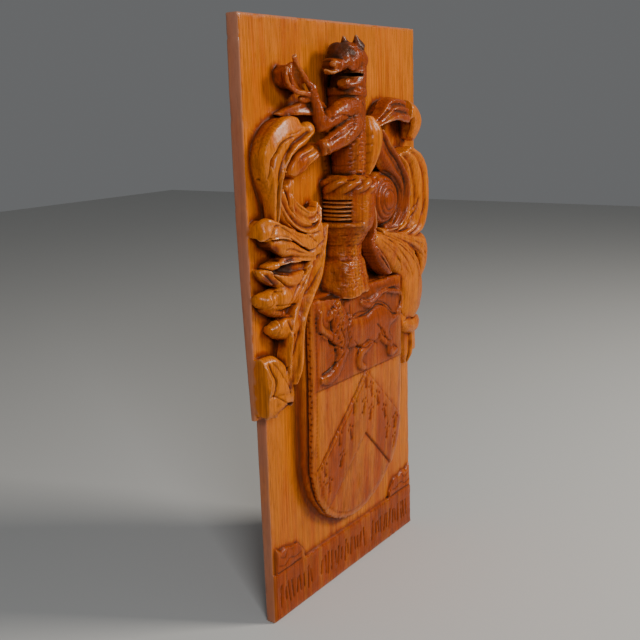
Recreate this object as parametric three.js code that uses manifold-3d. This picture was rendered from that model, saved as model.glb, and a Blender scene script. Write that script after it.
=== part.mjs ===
// Carved wooden coat of arms: a shield with a beast passant over a chevron, a barred helmet with a
// twisted roll and a collared demi-beast above it, leafy mantling on both sides and a motto band,
// all carved in high relief out of one upright board.
// Millimetres, +Z up, the front faces -Y. The origin lies on the flat back, at half the board's height.
import * as THREE from 'three';
import { mergeVertices } from 'three/addons/utils/BufferGeometryUtils.js';
import Module from 'manifold-3d';

// Board
const panelHeight = 950;
const upperWidth = 504;
const lowerWidth = 450;
const shoulderHeight = 352;
const boardThickness = 23;
const bevelWidth = 60;
const bevelCut = 14;
const bevelTop = 865;
// The lower half and the shield stand a little left of the upper half's middle
const lowerShift = -2;

// Motto band along the foot
const mottoHeight = 85;
const mottoRise = 5;
const ribbonRise = 5;
const ribbonLength = 79;
const ribbonHeight = 51;

// Shield
const shieldWidth = 286;
const shieldTop = 521;
const shieldBottom = 110;
const shieldRise = 34;
const shieldFootRise = 19;
const shieldFallShare = 0.62;
const chiefHeight = 148;
const chargeRise = 6;
const chiefRise = 1.5;
const chevronDepth = 113;
const chevronSlope = 0.94;
const chevronShift = 12;
const chevronRise = 2.5;

// Helmet, roll and crest
const helmRadius = 46;
const helmTop = 690;
const rollRadius = 13;
const rollTurns = 7;
const rollStrands = 3;
const barCount = 6;
const barDepth = 4;
const barReach = 0.25 * Math.PI;
const keelTurn = 0.3 * Math.PI;
const helmAxis = -1.7;

// Mantling
const mantlingRise = 40;

// The free carving is drawn on squares. One square is 10 mm at the sizes above, and the rows are tied
// to the edges that the carving has to meet.
const squareWide = upperWidth / 50.4;
const squareDeep = mantlingRise / 4;
const rows = [
  [0, 0],
  [35.2, shoulderHeight],
  [52.1, shieldTop],
  [69, helmTop],
  [95, panelHeight],
];
const rootDepth = 3;

const wasm = await Module();
wasm.setup();

// Height in millimetres of a row of the squared drawing
function level(row) {
  let k = 0;
  while (k < rows.length - 2 && row > rows[k + 1][0]) k += 1;
  const [rowA, zA] = rows[k];
  const [rowB, zB] = rows[k + 1];
  return zA + (zB - zA) * (row - rowA) / (rowB - rowA);
}

const front = (rise) => -boardThickness - rise;

// Closed indexed geometry to solid, turned the right way out
function toSolid(geometry) {
  const bare = geometry.clone();
  for (const name of Object.keys(bare.attributes)) {
    if (name !== 'position') bare.deleteAttribute(name);
  }
  const merged = mergeVertices(bare, 1e-4);
  const vertProperties = Float32Array.from(merged.attributes.position.array);
  const triVerts = Uint32Array.from(merged.index.array);
  let volume = 0;
  const corner = (i) => new THREE.Vector3().fromArray(vertProperties, 3 * triVerts[i]);
  for (let i = 0; i < triVerts.length; i += 3) {
    volume += corner(i).dot(corner(i + 1).cross(corner(i + 2)));
  }
  if (volume < 0) {
    for (let i = 0; i < triVerts.length; i += 3) {
      [triVerts[i], triVerts[i + 1]] = [triVerts[i + 1], triVerts[i]];
    }
  }
  return new wasm.Manifold(new wasm.Mesh({ numProp: 3, vertProperties, triVerts }));
}

// Closed skin over a row of rings that all have as many points
function loft(rings) {
  const count = rings[0].length;
  const middle = (ring) => ring
    .reduce((sum, point) => sum.add(point), new THREE.Vector3())
    .divideScalar(count);
  const points = [...rings.flat(), middle(rings[0]), middle(rings.at(-1))];
  const faces = [];
  for (let r = 0; r + 1 < rings.length; r += 1) {
    for (let k = 0; k < count; k += 1) {
      const a = r * count + k;
      const b = r * count + (k + 1) % count;
      faces.push(a, b, b + count, a, b + count, a + count);
    }
  }
  const last = (rings.length - 1) * count;
  for (let k = 0; k < count; k += 1) {
    const next = (k + 1) % count;
    faces.push(next, k, points.length - 2);
    faces.push(last + k, last + next, points.length - 1);
  }
  const geometry = new THREE.BufferGeometry();
  geometry.setAttribute('position', new THREE.Float32BufferAttribute(
    points.flatMap((point) => point.toArray()), 3));
  geometry.setIndex(faces);
  return toSolid(geometry);
}

// Flat shape in the plane of the board, raised from one level to another
function slab(shape, fromRise, toRise, options = {}) {
  const geometry = new THREE.ExtrudeGeometry(shape, {
    depth: toRise - fromRise, bevelEnabled: false, ...options });
  geometry.rotateX(Math.PI / 2);
  geometry.translate(0, front(fromRise), 0);
  return toSolid(geometry);
}

// Values of a stroke, evenly spaced along a smooth curve through its stations
function smooth(stations, steps) {
  const values = [];
  const size = stations[0].length;
  for (let s = 0; s <= steps; s += 1) {
    const t = s / steps * (stations.length - 1);
    const k = Math.min(Math.floor(t), stations.length - 2);
    const f = t - k;
    const at = (i) => stations[Math.max(0, Math.min(stations.length - 1, i))];
    const value = [];
    for (let c = 0; c < size; c += 1) {
      const [p, q, r, w] = [at(k - 1)[c], at(k)[c], at(k + 1)[c], at(k + 2)[c]];
      value.push(q + 0.5 * f * (r - p + f * (2 * p - 5 * q + 4 * r - w + f * (3 * (q - r) + w - p))));
    }
    values.push(value);
  }
  return values;
}

// Sections across a leaf or a fold, from its first edge to its second: place, and share of the rise
const crown = [[-1, 0.35], [-0.75, 0.8], [-0.25, 0.98], [0.25, 1], [0.75, 0.8], [1, 0.4]];
const lobe = [[-1, 0.22], [-0.8, 0.62], [-0.4, 0.92], [0.1, 1], [0.7, 0.96], [1, 0.74]];
const cup = [[-1, 0.5], [-0.85, 0.88], [-0.5, 0.42], [-0.05, 0.4], [0.3, 0.86], [0.6, 1], [1, 0.45]];
const ridged = [[-1, 0.4], [-0.75, 0.82], [-0.3, 0.88], [0.02, 0.8], [0.22, 1], [0.7, 0.76], [1, 0.3]];
const creased = [[-1, 0.35], [-0.7, 0.86], [-0.3, 0.98], [0.05, 0.76], [0.4, 0.96], [0.8, 0.78], [1, 0.35]];
const twin = [[-1, 0.4], [-0.8, 0.86], [-0.5, 0.9], [-0.15, 0.74], [0.2, 0.82], [0.5, 1], [0.8, 0.92],
  [1, 0.7]];
const brim = [[-1, 0.66], [-0.45, 1], [-0.1, 0.86], [0.5, 0.78], [1, 0.5]];
const strap = [[-1, 0.4], [-0.8, 0.74], [-0.4, 0.76], [-0.1, 0.9], [0.2, 0.86], [0.6, 1], [1, 0.96]];
const fluted = [[-1, 0.62], [-0.75, 0.96], [-0.4, 0.8], [-0.05, 1], [0.3, 0.82], [0.65, 0.96], [0.88, 0.82],
  [1, 0.5]];

// One leaf, fold or strap of the mantling, from root to tip. Each rung holds place and row of the first
// edge, place and row of the second edge, and the rise, in squares.
function leaf(section, steps, rungs) {
  const foot = front(-rootDepth);
  const rings = smooth(rungs, steps).map(([xa, rowA, xb, rowB, rise]) => {
    const ring = section.map(([u, share]) => {
      const t = (u + 1) / 2;
      const x = (xa + (xb - xa) * t) * squareWide;
      return new THREE.Vector3(x, front(rise * squareDeep * share), level(rowA + (rowB - rowA) * t));
    });
    const [first, last] = [ring[0], ring.at(-1)];
    ring.push(new THREE.Vector3(last.x, foot, last.z), new THREE.Vector3(first.x, foot, first.z));
    return ring;
  });
  return loft(rings);
}

// Limb, body or tail of an animal. Stations hold place across, row and rise of the middle, then the
// radius in the plane of the board and, where it differs, the radius outwards, in squares.
function limb(stations, steps, sides, ground = 0) {
  const full = stations.map(([x, row, rise, radius, out = radius]) => [x, row, rise, radius, out]);
  const run = smooth(full, steps);
  const points = run.map(([x, row, rise]) => new THREE.Vector3(
    x * squareWide, front(ground + rise * squareDeep), level(row)));
  const rings = points.map((point, i) => {
    const along = points[Math.min(i + 1, steps)].clone().sub(points[Math.max(i - 1, 0)]).normalize();
    const side = new THREE.Vector3(0, 1, 0).cross(along).normalize();
    const up = along.clone().cross(side);
    const radius = Math.max(run[i][3], 0.08) * squareWide;
    const out = Math.max(run[i][4], 0.08) * squareDeep;
    return Array.from({ length: sides }, (_, k) => {
      const turn = (k + 0.5) / sides * 2 * Math.PI;
      return point.clone()
        .addScaledVector(side, radius * Math.cos(turn))
        .addScaledVector(up, out * Math.sin(turn));
    });
  });
  return loft(rings);
}

// Rounded boss: place across, row and rise of the middle, then radii across, up and outwards, in squares
function boss(x, row, rise, across, up, out, sides = 8) {
  const geometry = new THREE.SphereGeometry(1, sides, Math.ceil(sides * 0.6));
  geometry.rotateX(Math.PI / 2);
  geometry.scale(across * squareWide, out * squareDeep, up * squareWide);
  geometry.translate(x * squareWide, front(rise * squareDeep), level(row));
  return toSolid(geometry);
}

function joined(solids) {
  return solids.reduce((whole, solid) => whole.add(solid));
}

function boardOutline() {
  const left = lowerShift - lowerWidth / 2;
  const right = lowerShift + lowerWidth / 2;
  return new THREE.Shape([
    new THREE.Vector2(left, 0),
    new THREE.Vector2(right, 0),
    new THREE.Vector2(right, shoulderHeight),
    new THREE.Vector2(upperWidth / 2, shoulderHeight),
    new THREE.Vector2(upperWidth / 2, panelHeight),
    new THREE.Vector2(-upperWidth / 2, panelHeight),
    new THREE.Vector2(-upperWidth / 2, shoulderHeight),
    new THREE.Vector2(left, shoulderHeight),
  ]);
}

function makeBoard() {
  return slab(boardOutline(), -boardThickness, 0);
}

// Raised band with chamfered edges for the inscription
function makeMottoBand() {
  const left = lowerShift - lowerWidth / 2;
  const right = lowerShift + lowerWidth / 2;
  const shape = new THREE.Shape([
    new THREE.Vector2(left + mottoRise, mottoRise),
    new THREE.Vector2(right - mottoRise, mottoRise),
    new THREE.Vector2(right - mottoRise, mottoHeight - mottoRise),
    new THREE.Vector2(left + mottoRise, mottoHeight - mottoRise),
  ]);
  return slab(shape, 0, 0.01, {
    bevelEnabled: true, bevelThickness: mottoRise, bevelSize: mottoRise, bevelSegments: 1 });
}

// Folded ribbon ends with wavy edges above the motto band
function makeRibbonEnds() {
  const waves = [[0.18, 0.8], [0.35, 0.84], [0.55, 0.74], [0.78, 0.72], [1, 0.35], [0.97, 0]];
  const foot = mottoHeight - mottoRise;
  return [-1, 1].map((side) => {
    const edge = lowerShift + side * (lowerWidth / 2 - mottoRise);
    const shape = new THREE.Shape();
    shape.moveTo(edge, foot);
    shape.lineTo(edge, foot + ribbonHeight);
    shape.splineThru(waves.map(([along, up]) => new THREE.Vector2(
      edge - side * along * ribbonLength, foot + up * ribbonHeight)));
    shape.closePath();
    return slab(shape, -rootDepth, ribbonRise, { curveSegments: 3 });
  });
}

const shieldRadius = shieldWidth / 2;
const shieldCentre = shieldBottom + shieldRadius;

// The shield's face falls back in a curve towards its foot
function shieldRiseAt(z) {
  const height = (z - shieldBottom) / (shieldTop - shieldBottom);
  const fall = Math.max(0, 1 - height / shieldFallShare);
  return shieldRise - (shieldRise - shieldFootRise) * fall ** 1.6;
}

// Round-bottomed shield with a cove and a step in its side and a rounded front edge
function makeShield(extraRise = 0) {
  const arcSteps = 18;
  const straight = [0, 0.35, 0.7];
  const outline = straight.map((share) => [-shieldRadius, shieldTop - share * (shieldTop - shieldCentre)]);
  for (let s = 0; s <= arcSteps; s += 1) {
    const turn = Math.PI * (1 + s / arcSteps);
    outline.push([shieldRadius * Math.cos(turn), shieldCentre + shieldRadius * Math.sin(turn)]);
  }
  outline.push(...outline.slice(0, straight.length).reverse().map(([x, z]) => [-x, z]));
  // Inset from the outline, and share of the local rise, from the ground up to the face
  const side = [[-6, null], [-6, 0.03], [-1.5, 0.14], [0, 0.48], [4, 0.54], [4, 0.6], [0, 0.66],
    [0, 0.86], [5, 0.96], [14, 1]];
  const rings = side.map(([inset, share]) => outline.map(([x, z]) => {
    const low = z < shieldCentre;
    const scale = 1 - inset / shieldRadius;
    const top = shieldTop - Math.max(inset, 0) / 3;
    const pz = low ? shieldCentre + (z - shieldCentre) * scale : Math.min(z, top);
    const rise = share === null ? -rootDepth : (shieldRiseAt(pz) + extraRise) * share;
    return new THREE.Vector3(lowerShift + x * scale, front(rise), pz);
  }));
  return ladder(rings);
}

// Skin over rings that are closed at both ends by rungs from side to side
function ladder(rings) {
  const count = rings[0].length;
  const points = rings.flat();
  const faces = [];
  for (let r = 0; r + 1 < rings.length; r += 1) {
    for (let k = 0; k < count; k += 1) {
      const a = r * count + k;
      const b = r * count + (k + 1) % count;
      faces.push(a, b, b + count, a, b + count, a + count);
    }
  }
  const rung = (start, k, turned) => {
    const [left, right] = [start + k, start + count - 1 - k];
    for (const face of [[left, right, right - 1], [left, right - 1, left + 1]]) {
      if (new Set(face).size === 3) faces.push(...(turned ? face.reverse() : face));
    }
  };
  for (let k = 0; k < count / 2 - 1; k += 1) {
    rung(0, k, false);
    rung((rings.length - 1) * count, k, true);
  }
  const geometry = new THREE.BufferGeometry();
  geometry.setAttribute('position', new THREE.Float32BufferAttribute(
    points.flatMap((point) => point.toArray()), 3));
  geometry.setIndex(faces);
  return toSolid(geometry);
}

// Chevron and chief, each a little proud of the shield's face
function makeFields() {
  const apex = shieldTop - chiefHeight;
  const across = shieldWidth;
  const fall = across * chevronSlope;
  const chevron = new THREE.Shape([
    new THREE.Vector2(chevronShift, apex),
    new THREE.Vector2(chevronShift + across, apex - fall),
    new THREE.Vector2(chevronShift + across, apex - fall - chevronDepth),
    new THREE.Vector2(chevronShift, apex - chevronDepth),
    new THREE.Vector2(chevronShift - across, apex - fall - chevronDepth),
    new THREE.Vector2(chevronShift - across, apex - fall),
  ]);
  const chief = new THREE.Shape([
    new THREE.Vector2(-across, apex),
    new THREE.Vector2(across, apex),
    new THREE.Vector2(across, shieldTop + chiefHeight),
    new THREE.Vector2(-across, shieldTop + chiefHeight),
  ]);
  const reach = shieldRise * 2;
  return [
    makeShield(chevronRise).intersect(slab(chevron, 0, reach)),
    makeShield(chiefRise).intersect(slab(chief, 0, reach)),
  ];
}

// Beast passant on the chief, in low relief
function makeShieldBeast() {
  const low = (stations, steps) => limb(stations, steps, 5, shieldRise + chiefRise);
  const thick = chargeRise / squareDeep;
  const flat = (rows) => rows.map(([x, row, radius, share = 1]) => [x, row, 0, radius, thick * share]);
  const parts = [
    flat([[-5.6, 45.6, 2.9], [-2.6, 45, 2.7], [1.4, 44.6, 2.5], [4.6, 45.4, 2.6], [7.4, 45.2, 2.4],
      [9.4, 44.2, 1.3, 0.6]]),
    flat([[-7.4, 51, 0.7, 0.7], [-7.3, 49, 2, 1.3], [-7, 46, 2.2, 1.4], [-6.6, 42.8, 1.6, 1.2],
      [-6.8, 40.4, 0.5, 0.6]]),
    flat([[-8.4, 49.6, 0.9, 1.2], [-9.6, 48.9, 0.8, 1], [-10.4, 48.5, 0.4, 0.5]]),
    flat([[-6.4, 44, 1.5], [-9.2, 45.5, 1], [-11.6, 46.7, 0.8, 0.8], [-12.7, 48.2, 0.8, 0.8],
      [-12.3, 50.2, 0.5, 0.6]]),
    flat([[-5.8, 43, 1.8], [-7.2, 40.8, 1.3], [-8.8, 39.2, 1], [-10.6, 38.8, 1], [-12.8, 39, 0.6, 0.6]]),
    flat([[4.2, 43.6, 1.6, 0.8], [1.4, 41.8, 1.1, 0.8], [-0.9, 40.4, 0.9, 0.8], [-1, 38.9, 0.8, 0.8],
      [0.7, 38, 0.5, 0.6]]),
    flat([[7.4, 45.4, 2.6, 1.1], [7.2, 42.6, 1.7], [8.8, 40.6, 1], [9.2, 38.9, 0.9],
      [11.6, 38.7, 0.5, 0.6]]),
    flat([[9, 44.4, 0.7, 0.8], [11.6, 45, 0.5, 0.7], [13.2, 46.8, 0.5, 0.7], [12.8, 48.9, 0.5, 0.7],
      [10.4, 49.6, 0.5, 0.7], [7.6, 50.2, 0.5, 0.7], [4.6, 49.6, 0.6, 0.7], [2.4, 48.8, 0.9, 0.8],
      [-0.4, 49.6, 0.5, 0.6]]),
  ];
  return parts.map((stations) => low(stations, stations.length + 2));
}

// Helmet turned round an upright axis. It faces left, with bars across its opening and a keel down the
// front of its collar. Stations hold row, rise of the axis and share of the radius.
function makeHelmet() {
  const sides = 16;
  const radius = helmRadius / squareWide;
  const stations = [[51.6, 0, 1.16], [53.4, 0, 1.12], [56.6, 0.3, 0.94], [57.6, 0.8, 0.74],
    [59.4, 1.1, 0.68], [61.4, 1.6, 0.84], [62.6, 2, 0.94], [62.8, 2.1, 1.06], [63.4, 2.1, 1.06],
    [63.6, 2.1, 1]];
  const barPitch = 0.66;
  for (let bar = 0; bar < barCount; bar += 1) {
    const foot = 63.7 + bar * barPitch;
    stations.push([foot, 2.1, 1, barDepth], [foot + barPitch * 0.4, 2.1, 1, barDepth]);
    stations.push([foot + barPitch * 0.45, 2.1, 1], [foot + barPitch * 0.95, 2.1, 1]);
  }
  stations.push([70, 2.1, 0.98], [71, 2.1, 0.7]);
  const rings = stations.map(([row, rise, share, depth = 0]) => (
    Array.from({ length: sides }, (_, k) => {
      const turn = (k + 0.5) / sides * 2 * Math.PI;
      const away = Math.min(turn, 2 * Math.PI - turn);
      const keel = row < 57 ? Math.max(0, 1 - Math.abs(turn - keelTurn) / 0.5) : 0;
      const cut = away < barReach ? depth / helmRadius : 0;
      const out = radius * (share + 0.12 * keel) * (1 - cut);
      return new THREE.Vector3((helmAxis - out * Math.cos(turn)) * squareWide,
        front((rise + out * Math.sin(turn)) * squareDeep), level(row - (row < 52 ? 0.7 * keel : 0)));
    })));
  return [loft(rings)];
}

// Roll of twisted cloth round the helmet's top
function makeRoll() {
  const steps = 32;
  const sides = 9;
  const ring = helmRadius - rollRadius * 0.6;
  const rings = [];
  for (let s = 0; s <= steps; s += 1) {
    const turn = (-0.25 + 1.5 * s / steps) * Math.PI;
    const across = new THREE.Vector3(-Math.cos(turn), -Math.sin(turn), 0);
    const centre = new THREE.Vector3(helmAxis * squareWide, front(2.1 * squareDeep), helmTop + 2)
      .addScaledVector(across, ring);
    rings.push(Array.from({ length: sides }, (_, k) => {
      const angle = k / sides * 2 * Math.PI;
      const swell = Math.abs(Math.cos(rollStrands / 2 * angle - rollTurns * turn / 2));
      const radius = rollRadius * (0.74 + 0.32 * swell);
      return centre.clone()
        .addScaledVector(across, radius * Math.cos(angle))
        .add(new THREE.Vector3(0, 0, radius * Math.sin(angle)));
    }));
  }
  return loft(rings);
}

// Collared demi-beast rising from the roll, its head in the round and facing left
function makeCrestBeast() {
  const body = [[-1.6, 69, 2.2, 2.6, 2.8], [-1.7, 73, 2.3, 2.5, 2.8], [-1.9, 77.5, 2.4, 2.9, 3.1],
    [-2, 81.5, 2.4, 3.1, 3.2], [-1.9, 84.6, 2.6, 3.2, 3.2], [-1.2, 87, 3, 2.9, 2.8],
    [-0.6, 88.8, 3.3, 2.1, 2.3]];
  const collar = [[-2, 83.3, 2.5, 3.5], [-2, 84.4, 2.5, 3.5]];
  const skull = [[1.4, 87.6, 3.3, 0.9, 1.2], [0.6, 88.3, 3.3, 2.1, 2.1], [-1.2, 89, 3.4, 2.5, 2.5],
    [-3, 89.2, 3.4, 2.4, 2.5], [-4.9, 89.1, 3.4, 2.2, 2.3], [-6.5, 88.7, 3.4, 1.8, 2],
    [-7.9, 88.1, 3.4, 1.4, 1.7], [-8.9, 87.8, 3.4, 0.9, 1.2]];
  const jaw = [[1, 85.9, 3.2, 1.6, 2.2], [-1.6, 85.3, 3.3, 1.3, 2.3], [-3.8, 85.1, 3.5, 1.1, 2.1],
    [-5.2, 85.2, 3.6, 0.9, 1.6], [-6, 85.4, 3.6, 0.6, 1]];
  const lip = [[-1, 87.2, 3.4, 0.7, 2.6], [-4, 87.1, 3.4, 0.65, 2.5], [-6.9, 87.2, 3.4, 0.6, 2.1],
    [-9, 87.2, 3.4, 0.5, 1.3]];
  const ear = (rise) => [[-0.6, 90.4, rise, 1.2, 0.7], [-1.4, 91.5, rise, 0.9, 0.6], [-2, 92.4, rise, 0.15]];
  const brow = (rise) => [[-2.4, 91, rise, 0.7], [-4.8, 91, rise, 0.7], [-6.4, 90.1, rise, 0.4]];
  const lowerArm = [[-0.6, 79.4, 3.8, 2.3, 1.8], [-3.2, 79.1, 4.5, 2.6, 1.8], [-6, 78, 4.8, 2.3, 1.6],
    [-8.8, 76.8, 4.9, 1.9, 1.4], [-11, 75.8, 4.7, 1.4, 1.2], [-13, 75, 4.5, 1.5, 1]];
  const raisedArm = [[-5, 77.4, 2.8, 2.2], [-8.2, 79.4, 3.1, 2.2], [-10.2, 81.7, 3.3, 1.8],
    [-11.8, 83.6, 3.4, 1.3], [-13.2, 84.9, 3.5, 1.2]];
  const lowerPaw = [
    [[-12.6, 75.8, 4.6, 1], [-15.2, 75.4, 4.5, 1, 0.8], [-17.6, 74.4, 4.3, 0.9, 0.8],
      [-19.7, 72.8, 4.1, 0.3]],
    [[-12.4, 75.2, 4.6, 1.1], [-14.9, 74.2, 4.5, 1.1, 0.9], [-16.9, 73, 4.3, 1, 0.8],
      [-18.3, 71.5, 4, 0.3]],
    [[-12.2, 74.6, 4.5, 1], [-13.9, 73.4, 4.4, 1, 0.9], [-15.3, 72.3, 4.2, 0.9, 0.8],
      [-16.6, 71.1, 3.9, 0.3]],
  ];
  const raisedPaw = [
    [[-12.8, 84.9, 3.5, 1.1], [-14.6, 86.3, 3.6, 0.8], [-16.1, 87.6, 3.6, 0.8], [-17.2, 89, 3.5, 0.2]],
    [[-13, 84.8, 3.4, 1], [-15.6, 85.7, 3.4, 1.2, 0.6], [-17.8, 86.4, 3.4, 1.1, 0.5],
      [-19.2, 87.4, 3.3, 0.2]],
    [[-12.8, 84.4, 3.3, 1], [-15.2, 84.1, 3.3, 0.8], [-17.4, 84.3, 3.2, 0.8], [-19, 85.2, 3.1, 0.3]],
  ];
  return [
    limb(body, 8, 12), limb(collar, 1, 14), limb(skull, 10, 10), limb(jaw, 4, 8), limb(lip, 4, 6),
    ...[1.7, 5.1].map((rise) => limb(ear(rise), 2, 5)),
    ...[2, 4.8].map((rise) => limb(brow(rise), 3, 6)),
    boss(-4.7, 89.9, 5.5, 0.9, 0.8, 0.5), boss(-7.9, 88, 4.9, 0.7, 0.6, 0.5, 6),
    boss(-1.7, 87.5, 5.4, 1.2, 1.1, 0.7),
    limb(lowerArm, 8, 10), limb(raisedArm, 6, 8),
    ...[...lowerPaw, ...raisedPaw].map((stations) => limb(stations, 4, 6)),
  ];
}

// Mantling on the left, from its top lobe down to the block leaf at the board's shoulder
function makeLeftMantling() {
  const leaves = [
    [crown, 4, [[-19, 66, -9, 66, 1.6], [-19.5, 60, -10, 60, 2], [-20.5, 55, -12, 55, 2],
      [-20.5, 50, -15, 50, 1.8], [-20, 45.5, -16, 45.5, 1.5]]],
    [crown, 5, [[-7, 81.5, -7, 79.3, 2.8], [-9.4, 82.3, -9, 79.6, 3], [-12.5, 82.5, -11.5, 79.9, 3],
      [-15, 82.1, -14.5, 80.2, 2.6], [-17.4, 81.2, -17.4, 80.8, 1.2]]],
    [lobe, 10, [[-20.6, 63.6, -17.6, 65, 2.3], [-21.7, 66.4, -19.6, 67.4, 2.8],
      [-22.4, 69.2, -20, 69.8, 3.2], [-23.4, 72.2, -19.3, 71.7, 3.8], [-23.4, 75.2, -18, 73.6, 4.1],
      [-22, 78.3, -16.6, 75, 4.2], [-19, 79.8, -15, 75.8, 4.2], [-15.5, 80.2, -13.4, 76.8, 4.1],
      [-12.6, 79.4, -12.5, 78.3, 3.9]]],
    [fluted, 8, [[-20.6, 68.6, -17.8, 70.8, 2.4], [-19.2, 65.6, -16.2, 68.6, 2.7],
      [-16.8, 63.4, -14.2, 67.2, 2.9], [-13.4, 62.4, -12.4, 66.4, 2.9], [-10.2, 63.4, -11.2, 66.6, 2.8],
      [-8.9, 65.8, -10.4, 67.3, 2.4]]],
    [ridged, 8, [[-10, 63, -10, 60, 3.1], [-14, 63.6, -13.4, 59.8, 3.3], [-18, 65, -17, 60, 3.4],
      [-21.3, 65.9, -20, 60.4, 3.5], [-23.8, 65.5, -22.4, 60.8, 3.4], [-25.2, 64.6, -24.9, 61.8, 2.8]]],
    [cup, 6, [[-14, 59.8, -14, 57.4, 2.9], [-16.3, 59.4, -16.3, 57, 2.8], [-19.5, 59.4, -19.5, 56.6, 2.6],
      [-22, 59.1, -21.8, 57.1, 2.1], [-24.1, 58.6, -24, 58.2, 1]]],
    [crown, 5, [[-17, 56.8, -17, 54.9, 2.6], [-19.5, 56.8, -19.4, 54.6, 2.6],
      [-21.6, 57.2, -21.8, 55.3, 2.3], [-23.6, 58.1, -23.6, 57.1, 1.3]]],
    [creased, 6, [[-15, 56.4, -17, 52.4, 3.1], [-18, 55.9, -18.8, 51.6, 3.1],
      [-20.8, 55.6, -20.6, 50.9, 3.2], [-23.5, 55.4, -22.4, 50.7, 3.1], [-25.7, 54.5, -24.8, 51.9, 2.4]]],
    [creased, 5, [[-16, 51.6, -17, 47.4, 3], [-18.4, 51.2, -18.8, 46.7, 3.1],
      [-20.6, 51, -20.6, 46.4, 2.9], [-22.8, 50, -22.6, 47.3, 2.2]]],
    [twin, 9, [[-12, 61.6, -8.4, 62.5, 3.1], [-13.8, 58.8, -9.2, 59.4, 3.3], [-16, 55.8, -10.2, 56, 3.5],
      [-18, 52.8, -12.8, 53, 3.6], [-19.4, 49.6, -15.4, 50, 3.7], [-20.4, 46.2, -16.2, 46.4, 3.6],
      [-20.6, 42.8, -16.4, 42.6, 3.4], [-19.2, 39.6, -17.4, 39.2, 2.3]]],
    [lobe, 6, [[-17.8, 39.8, -17.8, 37.2, 1.9], [-19.6, 42.6, -19.2, 36.4, 3],
      [-21.6, 44.6, -21.4, 35.9, 3.3], [-24, 45.4, -24.2, 35.9, 3.1], [-26.6, 45.8, -26.6, 36.4, 2.6]]],
  ];
  return leaves.map((rungs) => leaf(...rungs));
}

// Mantling on the right: a strap and its curl, a brim round a deep bowl, an outer lobe, and a fan that
// turns down into a hanging leaf with two curls under it
function makeRightMantling() {
  const leaves = [
    [crown, 6, [[2, 80.6, 5.2, 80, 3.6], [1.6, 77.6, 6.1, 77.6, 4.6], [1.4, 74.4, 4.8, 74.4, 4.5],
      [1.2, 71, 2.2, 70.4, 3.2]]],
    [strap, 8, [[5.2, 79, 5.9, 78.1, 4], [7.7, 80.3, 8.3, 78.8, 4.6], [9.3, 81.9, 10.6, 79.1, 4.7],
      [11.2, 82.9, 12.6, 79.1, 4.7], [14.8, 83, 14.8, 78.8, 4.6], [18.4, 82.6, 17.6, 78.4, 4.2]]],
    [lobe, 8, [[18.2, 82.6, 17.4, 79, 3.8], [20.4, 81.8, 18.4, 79, 3.8], [22.6, 79.6, 19, 78.6, 3.7],
      [22.8, 77.2, 19, 77.8, 3.3], [21.2, 75.4, 18.6, 77.2, 2.9], [18.6, 75.2, 17.8, 76.8, 2.4]]],
    [brim, 10, [[7.4, 78.2, 5, 76.4, 4.4], [10.4, 75.7, 6.6, 73.6, 4.4], [13.4, 73.4, 9.4, 70.7, 4.3],
      [16.7, 69.5, 13.2, 68, 4.1], [17.3, 66, 14.3, 66, 3.9], [16.6, 62.3, 14, 63.8, 3.7],
      [13.8, 60.1, 12.5, 62.2, 3.5], [9.8, 59.8, 10, 61.9, 3.3]]],
    [fluted, 10, [[14.4, 73, 18.6, 74.4, 3.2], [16.6, 71, 21.8, 73.1, 3.7], [17.5, 68.4, 24.1, 70.3, 4],
      [17.8, 66, 24.7, 66.4, 4], [17.2, 63.2, 24.2, 62, 3.9], [15.6, 60.8, 22.2, 58.9, 3.6],
      [12, 59.6, 16, 57.4, 3.2]]],
    [lobe, 9, [[8, 61.2, 8, 59.2, 3.5], [13.5, 60.1, 13, 58, 3.7], [19, 59, 17.2, 56.6, 3.8],
      [23.6, 58.2, 20.2, 55.2, 3.8], [25, 55.6, 21.2, 53.8, 3.6], [24.9, 52.4, 21.6, 52.2, 3.3],
      [23.2, 50, 21.4, 51, 2.9]]],
    [fluted, 9, [[4.6, 58.4, 5.6, 60.8, 3.6], [7.4, 56, 11, 60, 4], [10.6, 53.4, 17, 58, 4.1],
      [13.4, 51.2, 21.2, 54, 4.1], [14.6, 48, 22.8, 49, 4], [14.8, 44.8, 22.5, 43.4, 3.5]]],
    [crown, 6, [[15.2, 45, 14.2, 43.8, 3.2], [15.8, 43.6, 14.9, 41.4, 3.4], [18, 42.6, 17.4, 39.9, 3.4],
      [20.6, 42.4, 20.6, 39.4, 3.1], [22.3, 42.4, 22.6, 39.9, 2.4]]],
    [lobe, 7, [[14.4, 40.6, 15.8, 41, 3], [14.6, 37.8, 16.8, 39.4, 2.9], [16.4, 35, 18, 38.2, 2.8],
      [19.2, 33.9, 19.2, 38, 2.7], [21.4, 35.4, 20, 38.6, 2.8], [22.8, 38.4, 20.6, 39.6, 2.6]]],
    [crown, 9, [[2.4, 67.6, 3.2, 67.8, 3.8], [3.4, 64.8, 4.6, 64.8, 4.3], [3.6, 61.4, 4.9, 61.4, 4.4],
      [2.6, 59.4, 4.6, 59, 4.3], [3.4, 57.4, 5.6, 58, 4.5], [5.8, 54.6, 8.2, 56.2, 4.4],
      [8.8, 52.6, 10.4, 53.8, 3.9]]],
  ];
  const bowl = boss(9.4, 65.6, 0.6, 4.9, 4.5, 3.3, 10);
  return [...leaves.map((rungs) => leaf(...rungs)), bowl];
}

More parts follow.
